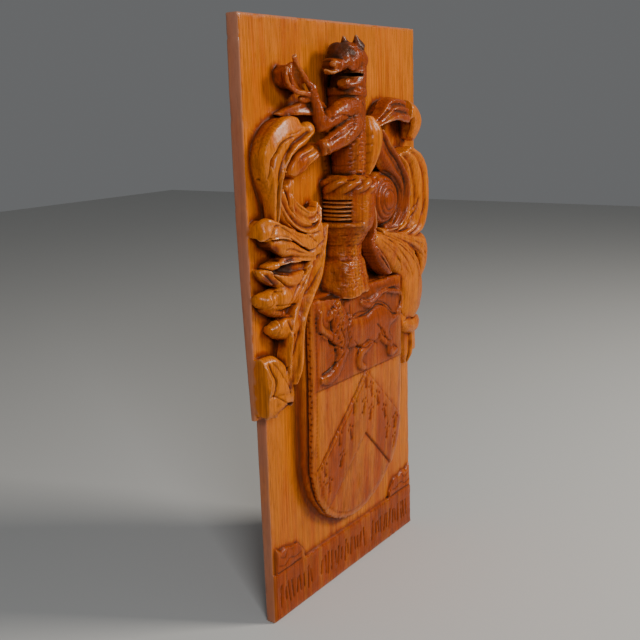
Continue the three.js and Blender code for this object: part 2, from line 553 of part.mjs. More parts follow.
// The left edge of the back is planed away, more and more towards the foot of each half
function makeBackBevels() {
  const bevel = (edge, foot, top, footCut, topCut) => {
    const ends = [[foot, footCut], [top, topCut]];
    return loft(ends.map(([z, cut]) => [
      new THREE.Vector3(edge - 1, 1, z),
      new THREE.Vector3(edge - 1, -cut, z),
      new THREE.Vector3(edge + bevelWidth, 1, z),
    ]));
  };
  return [
    bevel(-upperWidth / 2, shoulderHeight - 1, bevelTop, bevelCut, 0.1),
    bevel(lowerShift - lowerWidth / 2, -1, shoulderHeight, bevelCut / 2, bevelCut / 4),
  ];
}

function toMesh(solid, name, material) {
  const { vertProperties, triVerts } = solid.getMesh();
  const geometry = new THREE.BufferGeometry();
  geometry.setAttribute('position', new THREE.BufferAttribute(vertProperties, 3));
  geometry.setIndex(new THREE.BufferAttribute(triVerts, 1));
  const mesh = new THREE.Mesh(geometry, material);
  mesh.name = name;
  return mesh;
}

// Nothing of the carving reaches past the board's edges or through its back
function makePanel() {
  const carving = joined([
    ...makeFields(), ...makeShieldBeast(), ...makeHelmet(), makeRoll(), ...makeCrestBeast(),
    ...makeLeftMantling(), ...makeRightMantling(),
  ]);
  const room = slab(boardOutline(), -rootDepth - 1, panelHeight);
  const panel = joined([
    makeBoard(), makeShield(), makeMottoBand(), ...makeRibbonEnds(), carving.intersect(room)]);
  return makeBackBevels().reduce((whole, bevel) => whole.subtract(bevel), panel);
}

const varnishedWood = new THREE.MeshStandardMaterial({ color: 0xb5651d, roughness: 0.4, metalness: 0 });
const panel = toMesh(makePanel(), 'carved_panel', varnishedWood);
const coatOfArms = new THREE.Group();
coatOfArms.add(panel);
coatOfArms.position.z = -panelHeight / 2;

export default coatOfArms;
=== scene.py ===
"""Carved wooden coat of arms.

A board with a shield, a barred helmet, a collared demi-beast on a twisted roll, leafy mantling and a
motto band, all cut out of its own thickness. The carving is done the way a carver does it: forms are
set on the board one after the other, their roots are undercut, and lines are cut into their faces.
Lengths in the carving functions are millimetres, with the origin at the middle of the bottom edge of
the flat back, and the front faces -Y.
"""
import math

import bpy
import numpy as np
import openvdb
from bpy.props import FloatProperty, FloatVectorProperty, IntProperty
from mathutils import Matrix, Vector


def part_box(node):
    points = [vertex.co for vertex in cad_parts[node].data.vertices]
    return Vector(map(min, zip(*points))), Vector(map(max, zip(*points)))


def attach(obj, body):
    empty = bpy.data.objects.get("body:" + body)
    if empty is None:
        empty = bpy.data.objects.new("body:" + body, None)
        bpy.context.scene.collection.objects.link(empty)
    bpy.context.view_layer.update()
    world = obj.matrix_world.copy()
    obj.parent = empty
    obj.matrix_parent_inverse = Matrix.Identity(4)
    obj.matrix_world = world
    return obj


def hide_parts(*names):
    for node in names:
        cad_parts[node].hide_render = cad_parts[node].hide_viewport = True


bl_info = {
    "name": "Carved coat of arms",
    "version": (1, 0, 0),
    "blender": (4, 5, 0),
    "location": "3D View > Sidebar > Coat of arms",
    "description": "Carves a wooden coat of arms and sets up the studio around it",
    "category": "Add Mesh",
}

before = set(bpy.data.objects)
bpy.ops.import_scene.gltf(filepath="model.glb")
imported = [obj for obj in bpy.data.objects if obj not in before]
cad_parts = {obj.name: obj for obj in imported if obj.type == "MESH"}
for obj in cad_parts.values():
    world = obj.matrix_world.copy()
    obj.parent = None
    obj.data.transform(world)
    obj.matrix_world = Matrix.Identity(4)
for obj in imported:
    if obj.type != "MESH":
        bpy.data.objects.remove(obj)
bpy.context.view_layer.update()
PANEL_LOW, PANEL_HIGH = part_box("carved_panel")

HALF_TURN = math.pi
MM = 1000
HALF_MM = 500
# Side of a square, the unit of the carving's tables, in millimetres
SQUARE = 10.0
# How far from the skin the distances are held, and how far a part runs on into the next one
REACH = 6
OVERLAP = 20

# What a part of the surface is: how deeply it is stained (0 golden, 1 dark red-brown) and how much tool
# stipple it has
(GROUND, MANTLING, SHIELD, CHIEF, HELM, ROLL, BEAST, BAND, MOTTO, SHADE, EDGE, BACK, DARK,
 CHEVRON) = range(14)
# The SHADE value is painted shade, and the DARK value is partly dark staining and partly painted shade
STAIN_AND_SHADE = (0.04, 0.05, 0.18, 0.48, 0.34, 0.38, 0.48, 0.48, 0.34, 0.8, 0.42, 0.5, 0.95, 0.34)
STIPPLE = (0.0, 0.08, 0.0, 0.2, 0.85, 0.2, 0.75, 0.25, 0.0, 0.0, 0.1, 0.0, 0.6, 0.15)


class BoardSizes(bpy.types.PropertyGroup):
    """Sizes of the board and of the shield on it"""

    height: FloatProperty(
        name="Board height", description="From the bottom edge to the top edge",
        default=round(PANEL_HIGH.z - PANEL_LOW.z, 4), min=0.5, max=1.5, unit="LENGTH")
    upper_width: FloatProperty(
        name="Upper width", description="Width of the board above its shoulders",
        default=round(PANEL_HIGH.x - PANEL_LOW.x, 4), min=0.3, max=0.8, unit="LENGTH")
    lower_width: FloatProperty(
        name="Lower width", description="Width of the board below its shoulders",
        default=0.45, min=0.3, max=0.8, unit="LENGTH")
    shoulder: FloatProperty(
        name="Shoulder height", description="Height of the step in the sides",
        default=0.352, min=0.2, max=0.5, unit="LENGTH")
    thickness: FloatProperty(
        name="Board thickness", description="Thickness of the plain board",
        default=0.023, min=0.012, max=0.04, unit="LENGTH")
    shield_width: FloatProperty(
        name="Shield width", description="Width of the shield over its rim",
        default=0.286, min=0.2, max=0.4, unit="LENGTH")
    shield_rise: FloatProperty(
        name="Shield rise", description="How far the shield's head stands out from the board",
        default=0.034, min=0.015, max=0.05, unit="LENGTH")
    edge_wear: FloatProperty(
        name="Edge wear", description="How far the board's arrises are rounded by handling",
        default=0.0022, min=0.0005, max=0.006, unit="LENGTH")


class CarvingDetail(bpy.types.PropertyGroup):
    """How finely the carving is cut"""

    undercut: FloatProperty(
        name="Undercut", description="How far the leaves are cut away under their edges",
        default=0.005, min=0.0, max=0.012, unit="LENGTH")
    chatter: FloatProperty(
        name="Gouge marks", description="Depth of the gouge marks left on the carved forms",
        default=0.0006, min=0.0, max=0.002, unit="LENGTH")
    stipple: FloatProperty(
        name="Stipple", description="Depth of the tool stipple on the helmet and the beast's hide",
        default=0.0007, min=0.0, max=0.002, unit="LENGTH")
    faces: IntProperty(
        name="Triangles", description="Most triangles that the finished carving may have",
        default=160000, min=20000, max=165000)
    seed: IntProperty(
        name="Seed", description="Seed of everything that is irregular", default=7, min=0)


class WoodFinish(bpy.types.PropertyGroup):
    """Colours and gloss of the varnished wood"""

    golden: FloatVectorProperty(
        name="Golden wood", description="Colour of the plain ground", subtype="COLOR",
        default=(0.6, 0.155, 0.006), min=0.0, max=1.0)
    russet: FloatVectorProperty(
        name="Russet wood", description="Colour of the shield and the helmet", subtype="COLOR",
        default=(0.3, 0.044, 0.0015), min=0.0, max=1.0)
    umber: FloatVectorProperty(
        name="Umber wood", description="Colour of the darkest stained parts", subtype="COLOR",
        default=(0.085, 0.022, 0.005), min=0.0, max=1.0)
    gloss: FloatProperty(
        name="Varnish roughness", description="Roughness of the varnished surface",
        default=0.3, min=0.1, max=0.8, subtype="FACTOR")
    grain_width: FloatProperty(
        name="Grain width", description="Width of one band of the grain",
        default=0.018, min=0.004, max=0.06, unit="LENGTH")


class StudioSetup(bpy.types.PropertyGroup):
    """Camera and lights"""

    lens: FloatProperty(
        name="Focal length", description="Focal length on a sensor 36 mm wide",
        default=53.2, min=20.0, max=200.0)
    key_power: FloatProperty(
        name="Key light", description="Power of the main soft light", default=96.0, min=0.0,
        unit="POWER")
    fill_power: FloatProperty(
        name="Fill light", description="Power of the soft light on the near side", default=48.0,
        min=0.0, unit="POWER")
    room_light: FloatProperty(
        name="Room light", description="Strength of the even light from all sides", default=0.16,
        min=0.0)


# Drawing

def smooth_run(stations, steps):
    """Values evenly spaced along a smooth curve through the stations."""
    table = np.array(stations, float)
    last = len(table) - 1
    t = np.linspace(0, last, steps + 1)
    k = np.minimum(t.astype(int), last - 1)
    f = (t - k)[:, None]
    p, q, r, w = (table[np.clip(k + o, 0, last)] for o in (-1, 0, 1, 2))
    return q + 0.5 * f * (r - p + f * (2 * p - 5 * q + 4 * r - w + f * (3 * (q - r) + w - p)))


def value_noise(shape, cell, seed):
    """Smooth noise between -1 and 1 over a flat grid, with cells of the given size."""
    rng = np.random.default_rng(seed)
    counts = [int(n / c) + 4 for n, c in zip(shape, cell)]
    knots = rng.uniform(-1, 1, counts)
    out = knots
    for axis, (n, c) in enumerate(zip(shape, cell)):
        t = np.arange(n) / c
        k = t.astype(int)
        f = t - k
        f = (f * f * (3 - 2 * f)).reshape([-1 if a == axis else 1 for a in range(2)])
        out = np.take(out, k, axis) * (1 - f) + np.take(out, k + 1, axis) * f
    return out.astype(np.float32)


def loft(rings):
    """Closed skin over a stack of rings: points, four-sided faces and end triangles."""
    steps, count = rings.shape[:2]
    here = np.arange(count)
    there = (here + 1) % count
    quads = np.concatenate([
        np.stack([r * count + here, r * count + there, (r + 1) * count + there,
                  (r + 1) * count + here], 1) for r in range(steps - 1)])
    points = np.concatenate([rings.reshape(-1, 3), rings[[0, -1]].mean(1)])
    foot, top = steps * count, steps * count + 1
    last = (steps - 1) * count
    ends = np.concatenate([
        np.stack([there, here, np.full(count, foot)], 1),
        np.stack([last + here, last + there, np.full(count, top)], 1)])
    return points, quads, ends


def segment_distance(x, z, a, b):
    """Distance from points of a flat grid to a straight line from a to b, and the share along it."""
    ax, az = a
    dx, dz = b[0] - ax, b[1] - az
    share = np.clip(((x - ax) * dx + (z - az) * dz) / (dx * dx + dz * dz + 1e-9), 0, 1)
    return np.hypot(x - ax - share * dx, z - az - share * dz), share


# The block of wood

class Block:
    """The wood: signed distances to its skin on a grid of one millimetre, and what each place is."""

    def __init__(self, low, high, thickness):
        self.low = np.array(low, int)
        self.thickness = thickness
        size = tuple(np.array(high, int) - self.low)
        self.skin = np.full(size, float(REACH), np.float32)
        self.kind = np.zeros(size, np.uint8)
        self.cuts = np.zeros((size[0], size[2]), np.float32)

    def window(self, low, box):
        """The part of the block that a box covers, and the same part of the box."""
        start = np.maximum(low, self.low)
        end = np.minimum(low + box.shape, self.low + self.skin.shape)
        if (end <= start).any():
            raise RuntimeError("a form lies outside the block of wood")
        mine = tuple(slice(a, b) for a, b in zip(start - self.low, end - self.low))
        theirs = tuple(slice(a, b) for a, b in zip(start - low, end - low))
        return mine, theirs

    def add(self, shape, kind, blend=0.0):
        """Sets a form on the block; blend is how far its root flows into what it stands on."""
        low, box = shape
        mine, theirs = self.window(low, box)
        skin, form = self.skin[mine], box[theirs]
        nearer = form < skin - 0.2
        made = np.minimum(skin, form)
        if blend:
            gap = np.clip(blend - np.abs(skin - form), 0, None)
            made -= gap * gap / (4 * blend) * np.clip((4 - made) / 2, 0, 1)
        self.skin[mine] = made
        self.kind[mine][nearer] = kind

    def cut(self, shape, kind=None):
        """Cuts a form out of the block, and may say what the cut face is."""
        low, box = shape
        mine, theirs = self.window(low, box)
        form = -box[theirs]
        if kind is not None:
            self.kind[mine][form > self.skin[mine] - 1] = kind
        self.skin[mine] = np.maximum(self.skin[mine], form)

    def plane(self):
        """Place across and height of every column of the block, seen from the front."""
        x = np.arange(self.cuts.shape[0])[:, None] + self.low[0]
        z = np.arange(self.cuts.shape[1])[None, :] + self.low[2]
        return x.astype(np.float32), z.astype(np.float32)

    def depths(self):
        """Place in depth of every layer of the block, from the front to the back."""
        return np.arange(self.skin.shape[1], dtype=np.float32) + self.low[1]

    def line(self, points, width, depth, taper=True):
        """Cuts a line with a gouge, along points seen from the front. A negative depth leaves a ridge."""
        run = np.array(points, float)
        if len(run) > 2:
            run = smooth_run(run, 5 * (len(run) - 1))
        low = np.maximum(np.floor(run.min(0) - width - 1 - self.low[[0, 2]]).astype(int), 0)
        high = np.ceil(run.max(0) + width + 2 - self.low[[0, 2]]).astype(int)
        part = (slice(low[0], high[0]), slice(low[1], high[1]))
        x, z = self.plane()
        x, z = x[part[0]], z[:, part[1]]
        lengths = np.hypot(*np.diff(run, axis=0).T)
        starts = np.concatenate([[0], np.cumsum(lengths)])
        total = starts[-1]
        cut = np.zeros(self.cuts[part].shape, np.float32)
        for k in range(len(run) - 1):
            away, share = segment_distance(x, z, run[k], run[k + 1])
            strength = 1.0
            if taper:
                place = starts[k] + share * lengths[k]
                strength = np.clip(np.minimum(place, total - place) / (2 * width) + 0.25, 0, 1)
            cut = np.maximum(cut, hump(away, width / 2) * strength)
        self.cuts[part] += depth * cut

    def lines(self, table, unit=1.0):
        """Cuts all lines of a table that holds the width, the depth and then the points of each."""
        for width, depth, *points in table:
            self.line(np.array(points) * unit, width, depth)

    def paint(self, x0, row, rise, radius, old, new):
        """Changes what a round part of the surface is, round a place given in squares."""
        face = -round(self.thickness, 3)
        centre = np.array([x0 * SQUARE, face - rise * SQUARE, row * SQUARE]) - self.low
        reach = radius * SQUARE
        low = np.maximum((centre - reach).astype(int), 0)
        high = np.minimum((centre + reach).astype(int) + 1, self.kind.shape)
        kinds = self.kind[tuple(slice(a, b) for a, b in zip(low, high))]
        away = np.sqrt(sum((g - c) ** 2 for g, c in zip(cells(low, high), centre)))
        kinds[(away < reach) & (kinds == old)] = new

    def ring(self, x0, z0, radius, width, depth):
        """Cuts a round line."""
        x, z = self.plane()
        self.cuts += depth * hump(np.hypot(x - x0, z - z0) - radius, width / 2)

    def dimple(self, x0, z0, radius, depth):
        """Sinks a round hollow, or raises a round knob with a negative depth."""
        x, z = self.plane()
        i, k = int(x0 - self.low[0]), int(z0 - self.low[2])
        r = int(radius) + 2
        part = (slice(max(i - r, 0), i + r), slice(max(k - r, 0), k + r))
        self.cuts[part] += depth * hump(np.hypot(x[part[0]] - x0, z[:, part[1]] - z0), radius)


def cells(low, high):
    """Places of all cells of a box along each axis."""
    return np.meshgrid(*(np.arange(a, b) for a, b in zip(low, high)), indexing="ij")


def clipped(box):
    """Signed distances kept within their reach."""
    return np.clip(box, -REACH, REACH).astype(np.float32)


def hump(away, radius):
    """Height of a rounded ridge: 1 in its middle, 0 beyond its radius."""
    return np.clip(1 - (away / radius) ** 2, 0, 1)


def distances(points, quads, triangles):
    """Signed distances to a closed skin, in a box of its own."""
    low = np.floor(points.min(0)).astype(int) - REACH
    high = np.ceil(points.max(0)).astype(int) + REACH + 1
    grid = openvdb.FloatGrid.createLevelSetFromPolygons(
        (points - low).astype(np.float32), triangles=np.asarray(triangles, np.uint32),
        quads=np.asarray(quads, np.uint32),
        transform=openvdb.createLinearTransform(voxelSize=1.0), halfWidth=REACH)
    box = np.empty(tuple(high - low), np.float32)
    grid.copyToArray(box)
    return low, box


def front(rise, thickness):
    """Place in depth of something that stands out from the board's face."""
    return -thickness - rise


# Forms

# Sections across a leaf or a fold, from its first edge to its second: place, and share of the rise
CROWN = ((-1, 0.5), (-0.8, 0.84), (-0.25, 0.98), (0.25, 1), (0.75, 0.84), (1, 0.5))
LOBE = ((-1, 0.5), (-0.85, 0.74), (-0.4, 0.93), (0.1, 1), (0.7, 0.98), (1, 0.84))
RIDGED = ((-1, 0.4), (-0.75, 0.82), (-0.3, 0.88), (0.02, 0.8), (0.22, 1), (0.7, 0.76), (1, 0.3))
TWIN = ((-1, 0.4), (-0.8, 0.86), (-0.5, 0.9), (-0.15, 0.74), (0.2, 0.82), (0.5, 1), (0.8, 0.92), (1, 0.7))
BRIM = ((-1, 0.66), (-0.45, 1), (-0.1, 0.86), (0.5, 0.78), (1, 0.5))
STRAP = ((-1, 0.4), (-0.8, 0.74), (-0.4, 0.76), (-0.1, 0.9), (0.2, 0.86), (0.6, 1), (1, 0.96))
FLUTED = (
    (-1, 0.62), (-0.75, 0.96), (-0.4, 0.8), (-0.05, 1), (0.3, 0.82), (0.65, 0.96), (0.88, 0.82), (1, 0.5),
)
UPPER = ((-1, 0.66), (-0.88, 0.82), (-0.4, 0.88), (0.2, 0.93), (0.8, 1), (1, 0.99))
LOWER = ((-1, 0.84), (-0.6, 0.9), (-0.1, 1), (0.5, 0.98), (0.85, 0.88), (1, 0.76))
HOOD = ((-1, 0.6), (-0.88, 0.8), (-0.35, 0.87), (0.2, 0.93), (0.78, 1), (0.93, 0.97), (1, 0.88))
SHEET = (
    (-1, 0.6), (-0.8, 0.84), (-0.55, 0.76), (-0.1, 1), (0.3, 0.88), (0.6, 0.98), (0.88, 0.9), (1, 0.66),
)
WEB = ((-1, 0.9), (-0.8, 1), (-0.5, 0.86), (0, 0.78), (0.5, 0.86), (0.8, 1), (1, 0.9))
# Steps across a leaf and between two of its rungs, and how deep in the board its root stands
LEAF_ACROSS = 40
LEAF_ALONG = 14
LEAF_ROOT = -3.0
# Steps between two stations of a limb and round it, and its least radius
LIMB_ALONG = 9
LIMB_SIDES = 30
LEAST_RADIUS = 0.8


def leaf(section, rungs, thickness, undercut=5.0, veins=(), nose=4.0, lip=5.0):
    """One leaf, fold or strap of the mantling, from root to tip.

    Each rung holds place and row of the first edge, place and row of the second edge, and the rise, in
    squares. A vein holds where it starts and ends across and along the leaf, its width and its depth. With
    a negative width it is a fold: a sharp step down that slopes up again towards the second edge.
    """
    across = smooth_run(section, LEAF_ACROSS)
    run = smooth_run(rungs, LEAF_ALONG * (len(rungs) - 1))
    share = (across[:, 0] + 1) / 2
    xa, ra, xb, rb, rise = run.T[:, :, None]
    x = SQUARE * (xa + (xb - xa) * share)
    z = SQUARE * (ra + (rb - ra) * share)
    width = np.maximum(SQUARE * np.hypot(xb - xa, rb - ra), 1.0)
    height = SQUARE * rise * across[:, 1]
    travel = np.linspace(0, 1, len(run))[:, None]
    for first, second, start, end, wide, deep in veins:
        along = (travel - start) / (end - start)
        place = (first + (second - first) * np.clip(along, 0, 1) + 1) / 2
        off = (share - place) * width
        taper = np.clip(along / 0.12, 0, 1) * np.clip((1 - along) / 0.2, 0, 1)
        fold = np.where(off > 0, np.clip(1 + off / wide, 0, 1), 0.0)
        height = height - deep * taper * (hump(off, wide / 2) if wide > 0 else fold)
    inner = np.clip(undercut / width[:, 0], 0, 0.3)
    rings = []
    for k in range(len(run)):
        top = np.stack([x[k], height[k], z[k]], 1)
        foot = []
        for edge, other in ((top[-1], top[0]), (top[0], top[-1])):
            lower = edge.copy()
            lower[1] = max(edge[1] - lip, LEAF_ROOT)
            under = edge + (other - edge) * inner[k]
            under[1] = max(edge[1] - lip - 2, LEAF_ROOT)
            root = under.copy()
            root[1] = LEAF_ROOT
            foot.append([lower, under, root])
        rings.append(np.concatenate([top, foot[0], foot[1][::-1]]))
    rings = round_end(np.array(rings), nose)
    rings[:, :, 1] = front(rings[:, :, 1], thickness)
    return distances(*loft(rings))


def round_end(rings, nose):
    """Adds rings beyond the tip that draw in and sink, so that the tip is round."""
    tip, back = rings[-1], rings[-3]
    centre = tip.mean(0)
    ahead = centre - back.mean(0)
    ahead[1] = 0
    ahead /= np.linalg.norm(ahead) + 1e-6
    inward = (centre - tip) * [1, 0, 1]
    reach = np.linalg.norm(inward, axis=1, keepdims=True) + 1e-6
    more = []
    for turn in (0.4, 0.8, 1.2, 1.5):
        ring = tip + ahead * nose * math.sin(turn)
        ring = ring + inward / reach * np.minimum(nose * (1 - math.cos(turn)), reach * 0.8)
        sunk = np.where(tip[:, 1] > 0, nose * 0.9 * (1 - math.cos(turn)), 0)
        ring[:, 1] = np.maximum(tip[:, 1] - sunk, LEAF_ROOT)
        more.append(ring)
    return np.concatenate([rings, np.array(more)])


def limb(stations, thickness, ground=0.0, cap=0.3):
    """Limb, body or tail of an animal.

    Stations hold place across, row and rise of the middle, then the radius in the plane of the board
    and, where it differs, the radius outwards, in squares. The ground is what it stands on, in
    millimetres from the board's face, and the cap is how far its ends bulge.
    """
    full = [tuple(s) + (s[3],) if len(s) == 4 else tuple(s) for s in stations]
    run = smooth_run(full, LIMB_ALONG * (len(full) - 1)) * SQUARE
    points = np.stack([run[:, 0], front(ground + run[:, 2], thickness), run[:, 1]], 1)
    along = np.gradient(points, axis=0)
    along /= np.linalg.norm(along, axis=1, keepdims=True)
    side = np.cross([0.0, 1.0, 0.0], along)
    side /= np.linalg.norm(side, axis=1, keepdims=True)
    up = np.cross(along, side)
    turn = (np.arange(LIMB_SIDES) + 0.5) / LIMB_SIDES * 2 * HALF_TURN
    radius = np.maximum(run[:, 3], LEAST_RADIUS)[:, None, None]
    out = np.maximum(run[:, 4], LEAST_RADIUS)[:, None, None]
    cosine = np.cos(turn)[None, :, None]
    sine = np.sin(turn)[None, :, None]
    rings = points[:, None] + side[:, None] * radius * cosine + up[:, None] * out * sine
    caps = []
    for end, inside, flip in ((0, 1, -1), (-1, -2, 1)):
        centre = points[end]
        ahead = points[end] - points[inside]
        ahead /= np.linalg.norm(ahead)
        reach = min(run[end, 3], run[end, 4]) * cap
        swell = [rings[end] + ahead * reach * math.sin(a) + (centre - rings[end]) * (1 - math.cos(a))
                 for a in (0.5, 1.0, 1.35)]
        caps.append(np.array(swell[::flip]))
    return distances(*loft(np.concatenate([caps[0], rings, caps[1]])))


def boss(x, row, rise, across, up, out, thickness, ripple=0.0, pitch=9.0):
    """Rounded boss: place, row and rise of the middle, then radii across, up and outwards, in squares."""
    centre = np.array([x * SQUARE, front(rise * SQUARE, thickness), row * SQUARE])
    radii = np.array([across, out, up]) * SQUARE
    low = np.floor(centre - radii).astype(int) - REACH
    high = np.ceil(centre + radii).astype(int) + REACH + 1
    grid = cells(low, high)
    scaled = [(g - c) / r for g, c, r in zip(grid, centre, radii)]
    length = np.sqrt(sum(s * s for s in scaled))
    slope = np.sqrt(sum((s / r) ** 2 for s, r in zip(scaled, radii))) + 1e-6
    box = length * (length - 1) / slope
    if ripple:
        away = np.hypot(grid[0] - centre[0], grid[2] - centre[2])
        ring = np.abs(np.sin(away / pitch * HALF_TURN)) ** 0.6
        reach = np.clip((away - pitch) / pitch, 0, 1)
        box = box + ripple * (1 - ring) * reach
    return low, clipped(box)


def beyond_plane(x, row, rise, aim, reach, thickness):
    """The space beyond a flat plane near a place in squares, to plane a facet with."""
    centre = np.array([x * SQUARE, front(rise * SQUARE, thickness), row * SQUARE])
    low = np.floor(centre - reach * SQUARE).astype(int) - REACH
    high = np.ceil(centre + reach * SQUARE).astype(int) + REACH + 1
    away = [g - c for g, c in zip(cells(low, high), centre)]
    plane = sum(a * n for a, n in zip(away, np.array(aim) / np.linalg.norm(aim)))
    box = np.maximum(np.sqrt(sum(a * a for a in away)) - reach * SQUARE, -plane)
    return low, clipped(box)


# Board, band and shield

LOWER_SHIFT = -2.0
BEVEL_WIDTH = 60.0
BEVEL_CUT = 14.0
BEVEL_TOP = 720.0
BEVEL_BEND = 1.4
# Depth of the knocks along the arrises
KNOCK_DEPTH = 9
MOTTO_HEIGHT = 85.0
MOTTO_RISE = 5.0
RIBBON_LENGTH = 79.0
RIBBON_HEIGHT = 51.0
# Outer edge of a ribbon end: share of its height, and share of its length
RIBBON_EDGE = ((0, 1), (0.18, 0.8), (0.35, 0.84), (0.55, 0.74), (0.78, 0.72), (1, 0.35), (1.02, 0))
SHIELD_TOP = 521.0
SHIELD_BOTTOM = 110.0
SHIELD_FOOT_RISE = 19.0
SHIELD_FALL = 0.62
# Section of the shield's side: share of its rise, and how far in from the rim
SHIELD_SIDE = (
    (0, -6), (0.03, -6), (0.14, -1.5), (0.48, 0), (0.54, 4), (0.6, 4), (0.66, 0), (0.86, 0), (0.96, 5),
    (1, 14),
)
# Width of the slope at the edge of a charge
CHARGE_EDGE = 1.6
CHIEF_HEIGHT = 148.0
CHIEF_FOOT = SHIELD_TOP - CHIEF_HEIGHT
CHIEF_RISE = 1.5
CHEVRON_DEPTH = 113.0
CHEVRON_SLOPE = 0.94
CHEVRON_SHIFT = 12.0
CHEVRON_RISE = 2.5


def rectangle(x, z, left, right, low, high):
    """Signed distance in the plane of the board to an upright rectangle."""
    dx = np.maximum(left - x, x - right) + 0 * z
    dz = np.maximum(low - z, z - high) + 0 * x
    outside = np.hypot(np.maximum(dx, 0), np.maximum(dz, 0))
    return outside + np.minimum(np.maximum(dx, dz), 0)


def board_outline(block, sizes):
    """Signed distance to the board's outline, for every column of the block."""
    x, z = block.plane()
    upper = HALF_MM * sizes.upper_width
    lower = HALF_MM * sizes.lower_width
    shoulder = MM * sizes.shoulder
    foot = rectangle(x, z, LOWER_SHIFT - lower, LOWER_SHIFT + lower, 0, shoulder + OVERLAP)
    head = rectangle(x, z, -upper, upper, shoulder, MM * sizes.height)
    return np.minimum(foot, head).astype(np.float32)


def round_corner(first, second, radius):
    """The larger of two distances, with the edge between them rounded."""
    gap = np.clip(radius - np.abs(first - second), 0, None)
    return np.maximum(first, second) + gap * gap / (4 * radius)


def cut_board(block, sizes, detail):
    """Planes the board to its outline and thickness, with worn arrises, and gives its outline."""
    outline = board_outline(block, sizes)
    wear = MM * sizes.edge_wear * (1.25 + value_noise(outline.shape, (17, 23), detail.seed))
    knocks = np.clip(value_noise(outline.shape, (9, 14), detail.seed + 1) - 0.55, 0, 1)
    wear += knocks * KNOCK_DEPTH
    for j, depth in enumerate(block.depths()):
        face = max(-block.thickness - depth, depth)
        block.skin[:, j, :] = np.clip(round_corner(outline, face, wear + 0.4), -REACH, REACH)
    return outline


def motto_band(block, sizes):
    """Raised band with chamfered edges for the inscription's strokes."""
    x, z = block.plane()
    half = HALF_MM * sizes.lower_width
    inside = -rectangle(x, z, LOWER_SHIFT - half, LOWER_SHIFT + half, 0, MOTTO_HEIGHT)
    return raised(block, inside, np.minimum(MOTTO_RISE, inside))


def raised(block, inside, top):
    """A form that stands out from the board as far as top, where inside is how far in from its edge."""
    low = np.array([block.low[0], int(-block.thickness - top.max() - REACH), block.low[2]])
    y = np.arange(low[1], int(-block.thickness + REACH), dtype=np.float32)
    box = front(top[:, None, :], block.thickness) - y[None, :, None]
    return low, clipped(np.maximum(box, -inside[:, None, :]))


def ribbon_ends(block, sizes):
    """Folded ribbon ends with wavy upper edges above the motto band."""
    x, z = block.plane()
    half = HALF_MM * sizes.lower_width - MOTTO_RISE
    lengths, heights = np.array(RIBBON_EDGE).T
    foot = MOTTO_HEIGHT - MOTTO_RISE
    inside = np.full(block.cuts.shape, -REACH, np.float32)
    for side in (-1, 1):
        edge = LOWER_SHIFT + side * half
        along = (edge - x[:, 0]) * side / RIBBON_LENGTH
        top = foot + np.interp(along, lengths, heights, right=-1) * RIBBON_HEIGHT
        within = np.minimum((top[:, None] - z) * 0.8, along[:, None] * RIBBON_LENGTH)
        inside = np.maximum(inside, np.minimum(within, z - foot + REACH))
    folds = MOTTO_RISE + 0.8 * np.sin((x + 0.6 * z) / 13.0)
    return raised(block, inside, np.minimum(folds, 1.5 + inside * 1.2))


def shield_rise_at(z, sizes):
    """Rise of the shield's face, which falls back in a curve towards its foot."""
    height = (z - SHIELD_BOTTOM) / (SHIELD_TOP - SHIELD_BOTTOM)
    fall = np.clip(1 - height / SHIELD_FALL, 0, None)
    rise = MM * sizes.shield_rise
    return rise - (rise - SHIELD_FOOT_RISE) * fall ** 1.6


def shield_inside(block, sizes):
    """Distance in from the shield's outline, for every column of the block."""
    x, z = block.plane()
    radius = HALF_MM * sizes.shield_width
    centre = SHIELD_BOTTOM + radius
    x = x - LOWER_SHIFT
    side = radius - np.abs(x) + 0 * z
    round_part = radius - np.hypot(x, z - centre)
    return np.where(z < centre, round_part, np.minimum(side, SHIELD_TOP - z + 0 * x))


def below_chevron(x, z):
    """How far a place lies straight below the chevron's upper edge."""
    return CHIEF_FOOT - np.abs(x - CHEVRON_SHIFT) * CHEVRON_SLOPE - z


def shield(block, sizes):
    """Round-bottomed shield: a cove and a step in its side, a rounded front edge and raised charges."""
    x, z = block.plane()
    inside = shield_inside(block, sizes)
    face = shield_rise_at(z, sizes) + 0 * x
    shares, insets = np.array(SHIELD_SIDE).T
    low = np.array([block.low[0], int(-block.thickness - 50), block.low[2]])
    y = np.arange(low[1], int(-block.thickness + 5), dtype=np.float32)
    box = np.empty((block.cuts.shape[0], len(y), block.cuts.shape[1]), np.float32)
    below = below_chevron(x, z)
    on_chevron = np.minimum(below, CHEVRON_DEPTH - below) / math.hypot(1, CHEVRON_SLOPE)
    step = CHEVRON_RISE * np.clip(on_chevron / CHARGE_EDGE + 0.5, 0, 1)
    step = np.maximum(step, CHIEF_RISE * np.clip((z - CHIEF_FOOT) / CHARGE_EDGE + 0.5, 0, 1))
    full = face + step
    for j, level in enumerate(-block.thickness - y):
        inset = np.interp(np.clip(level / full, 0, 1), shares, insets)
        box[:, j, :] = round_corner(inset - inside, level - full, 3.0)
    return low, np.clip(box, -REACH, REACH)


def tick_shield_side(block, sizes):
    """Ticks pressed into the step in the shield's side, all the way down its left half."""
    radius = HALF_MM / SQUARE * sizes.shield_width
    centre = SHIELD_BOTTOM / SQUARE + radius
    middle = LOWER_SHIFT / SQUARE
    rows = np.arange(centre, SHIELD_TOP / SQUARE - 1, 0.95)
    places = [(middle - radius, row) for row in rows]
    places += [(middle - radius * math.cos(a), centre - radius * math.sin(a))
               for a in np.arange(0.05, 1.5, 0.07)]
    for k, (x, row) in enumerate(places):
        level = (0.74 + 0.05 * (k % 3)) * (shield_rise_at(row * SQUARE, sizes) / SQUARE)
        tall = 0.16 + 0.06 * (k % 2)
        block.cut(boss(x, row, level, 0.22, tall, 0.32, block.thickness), CHEVRON)


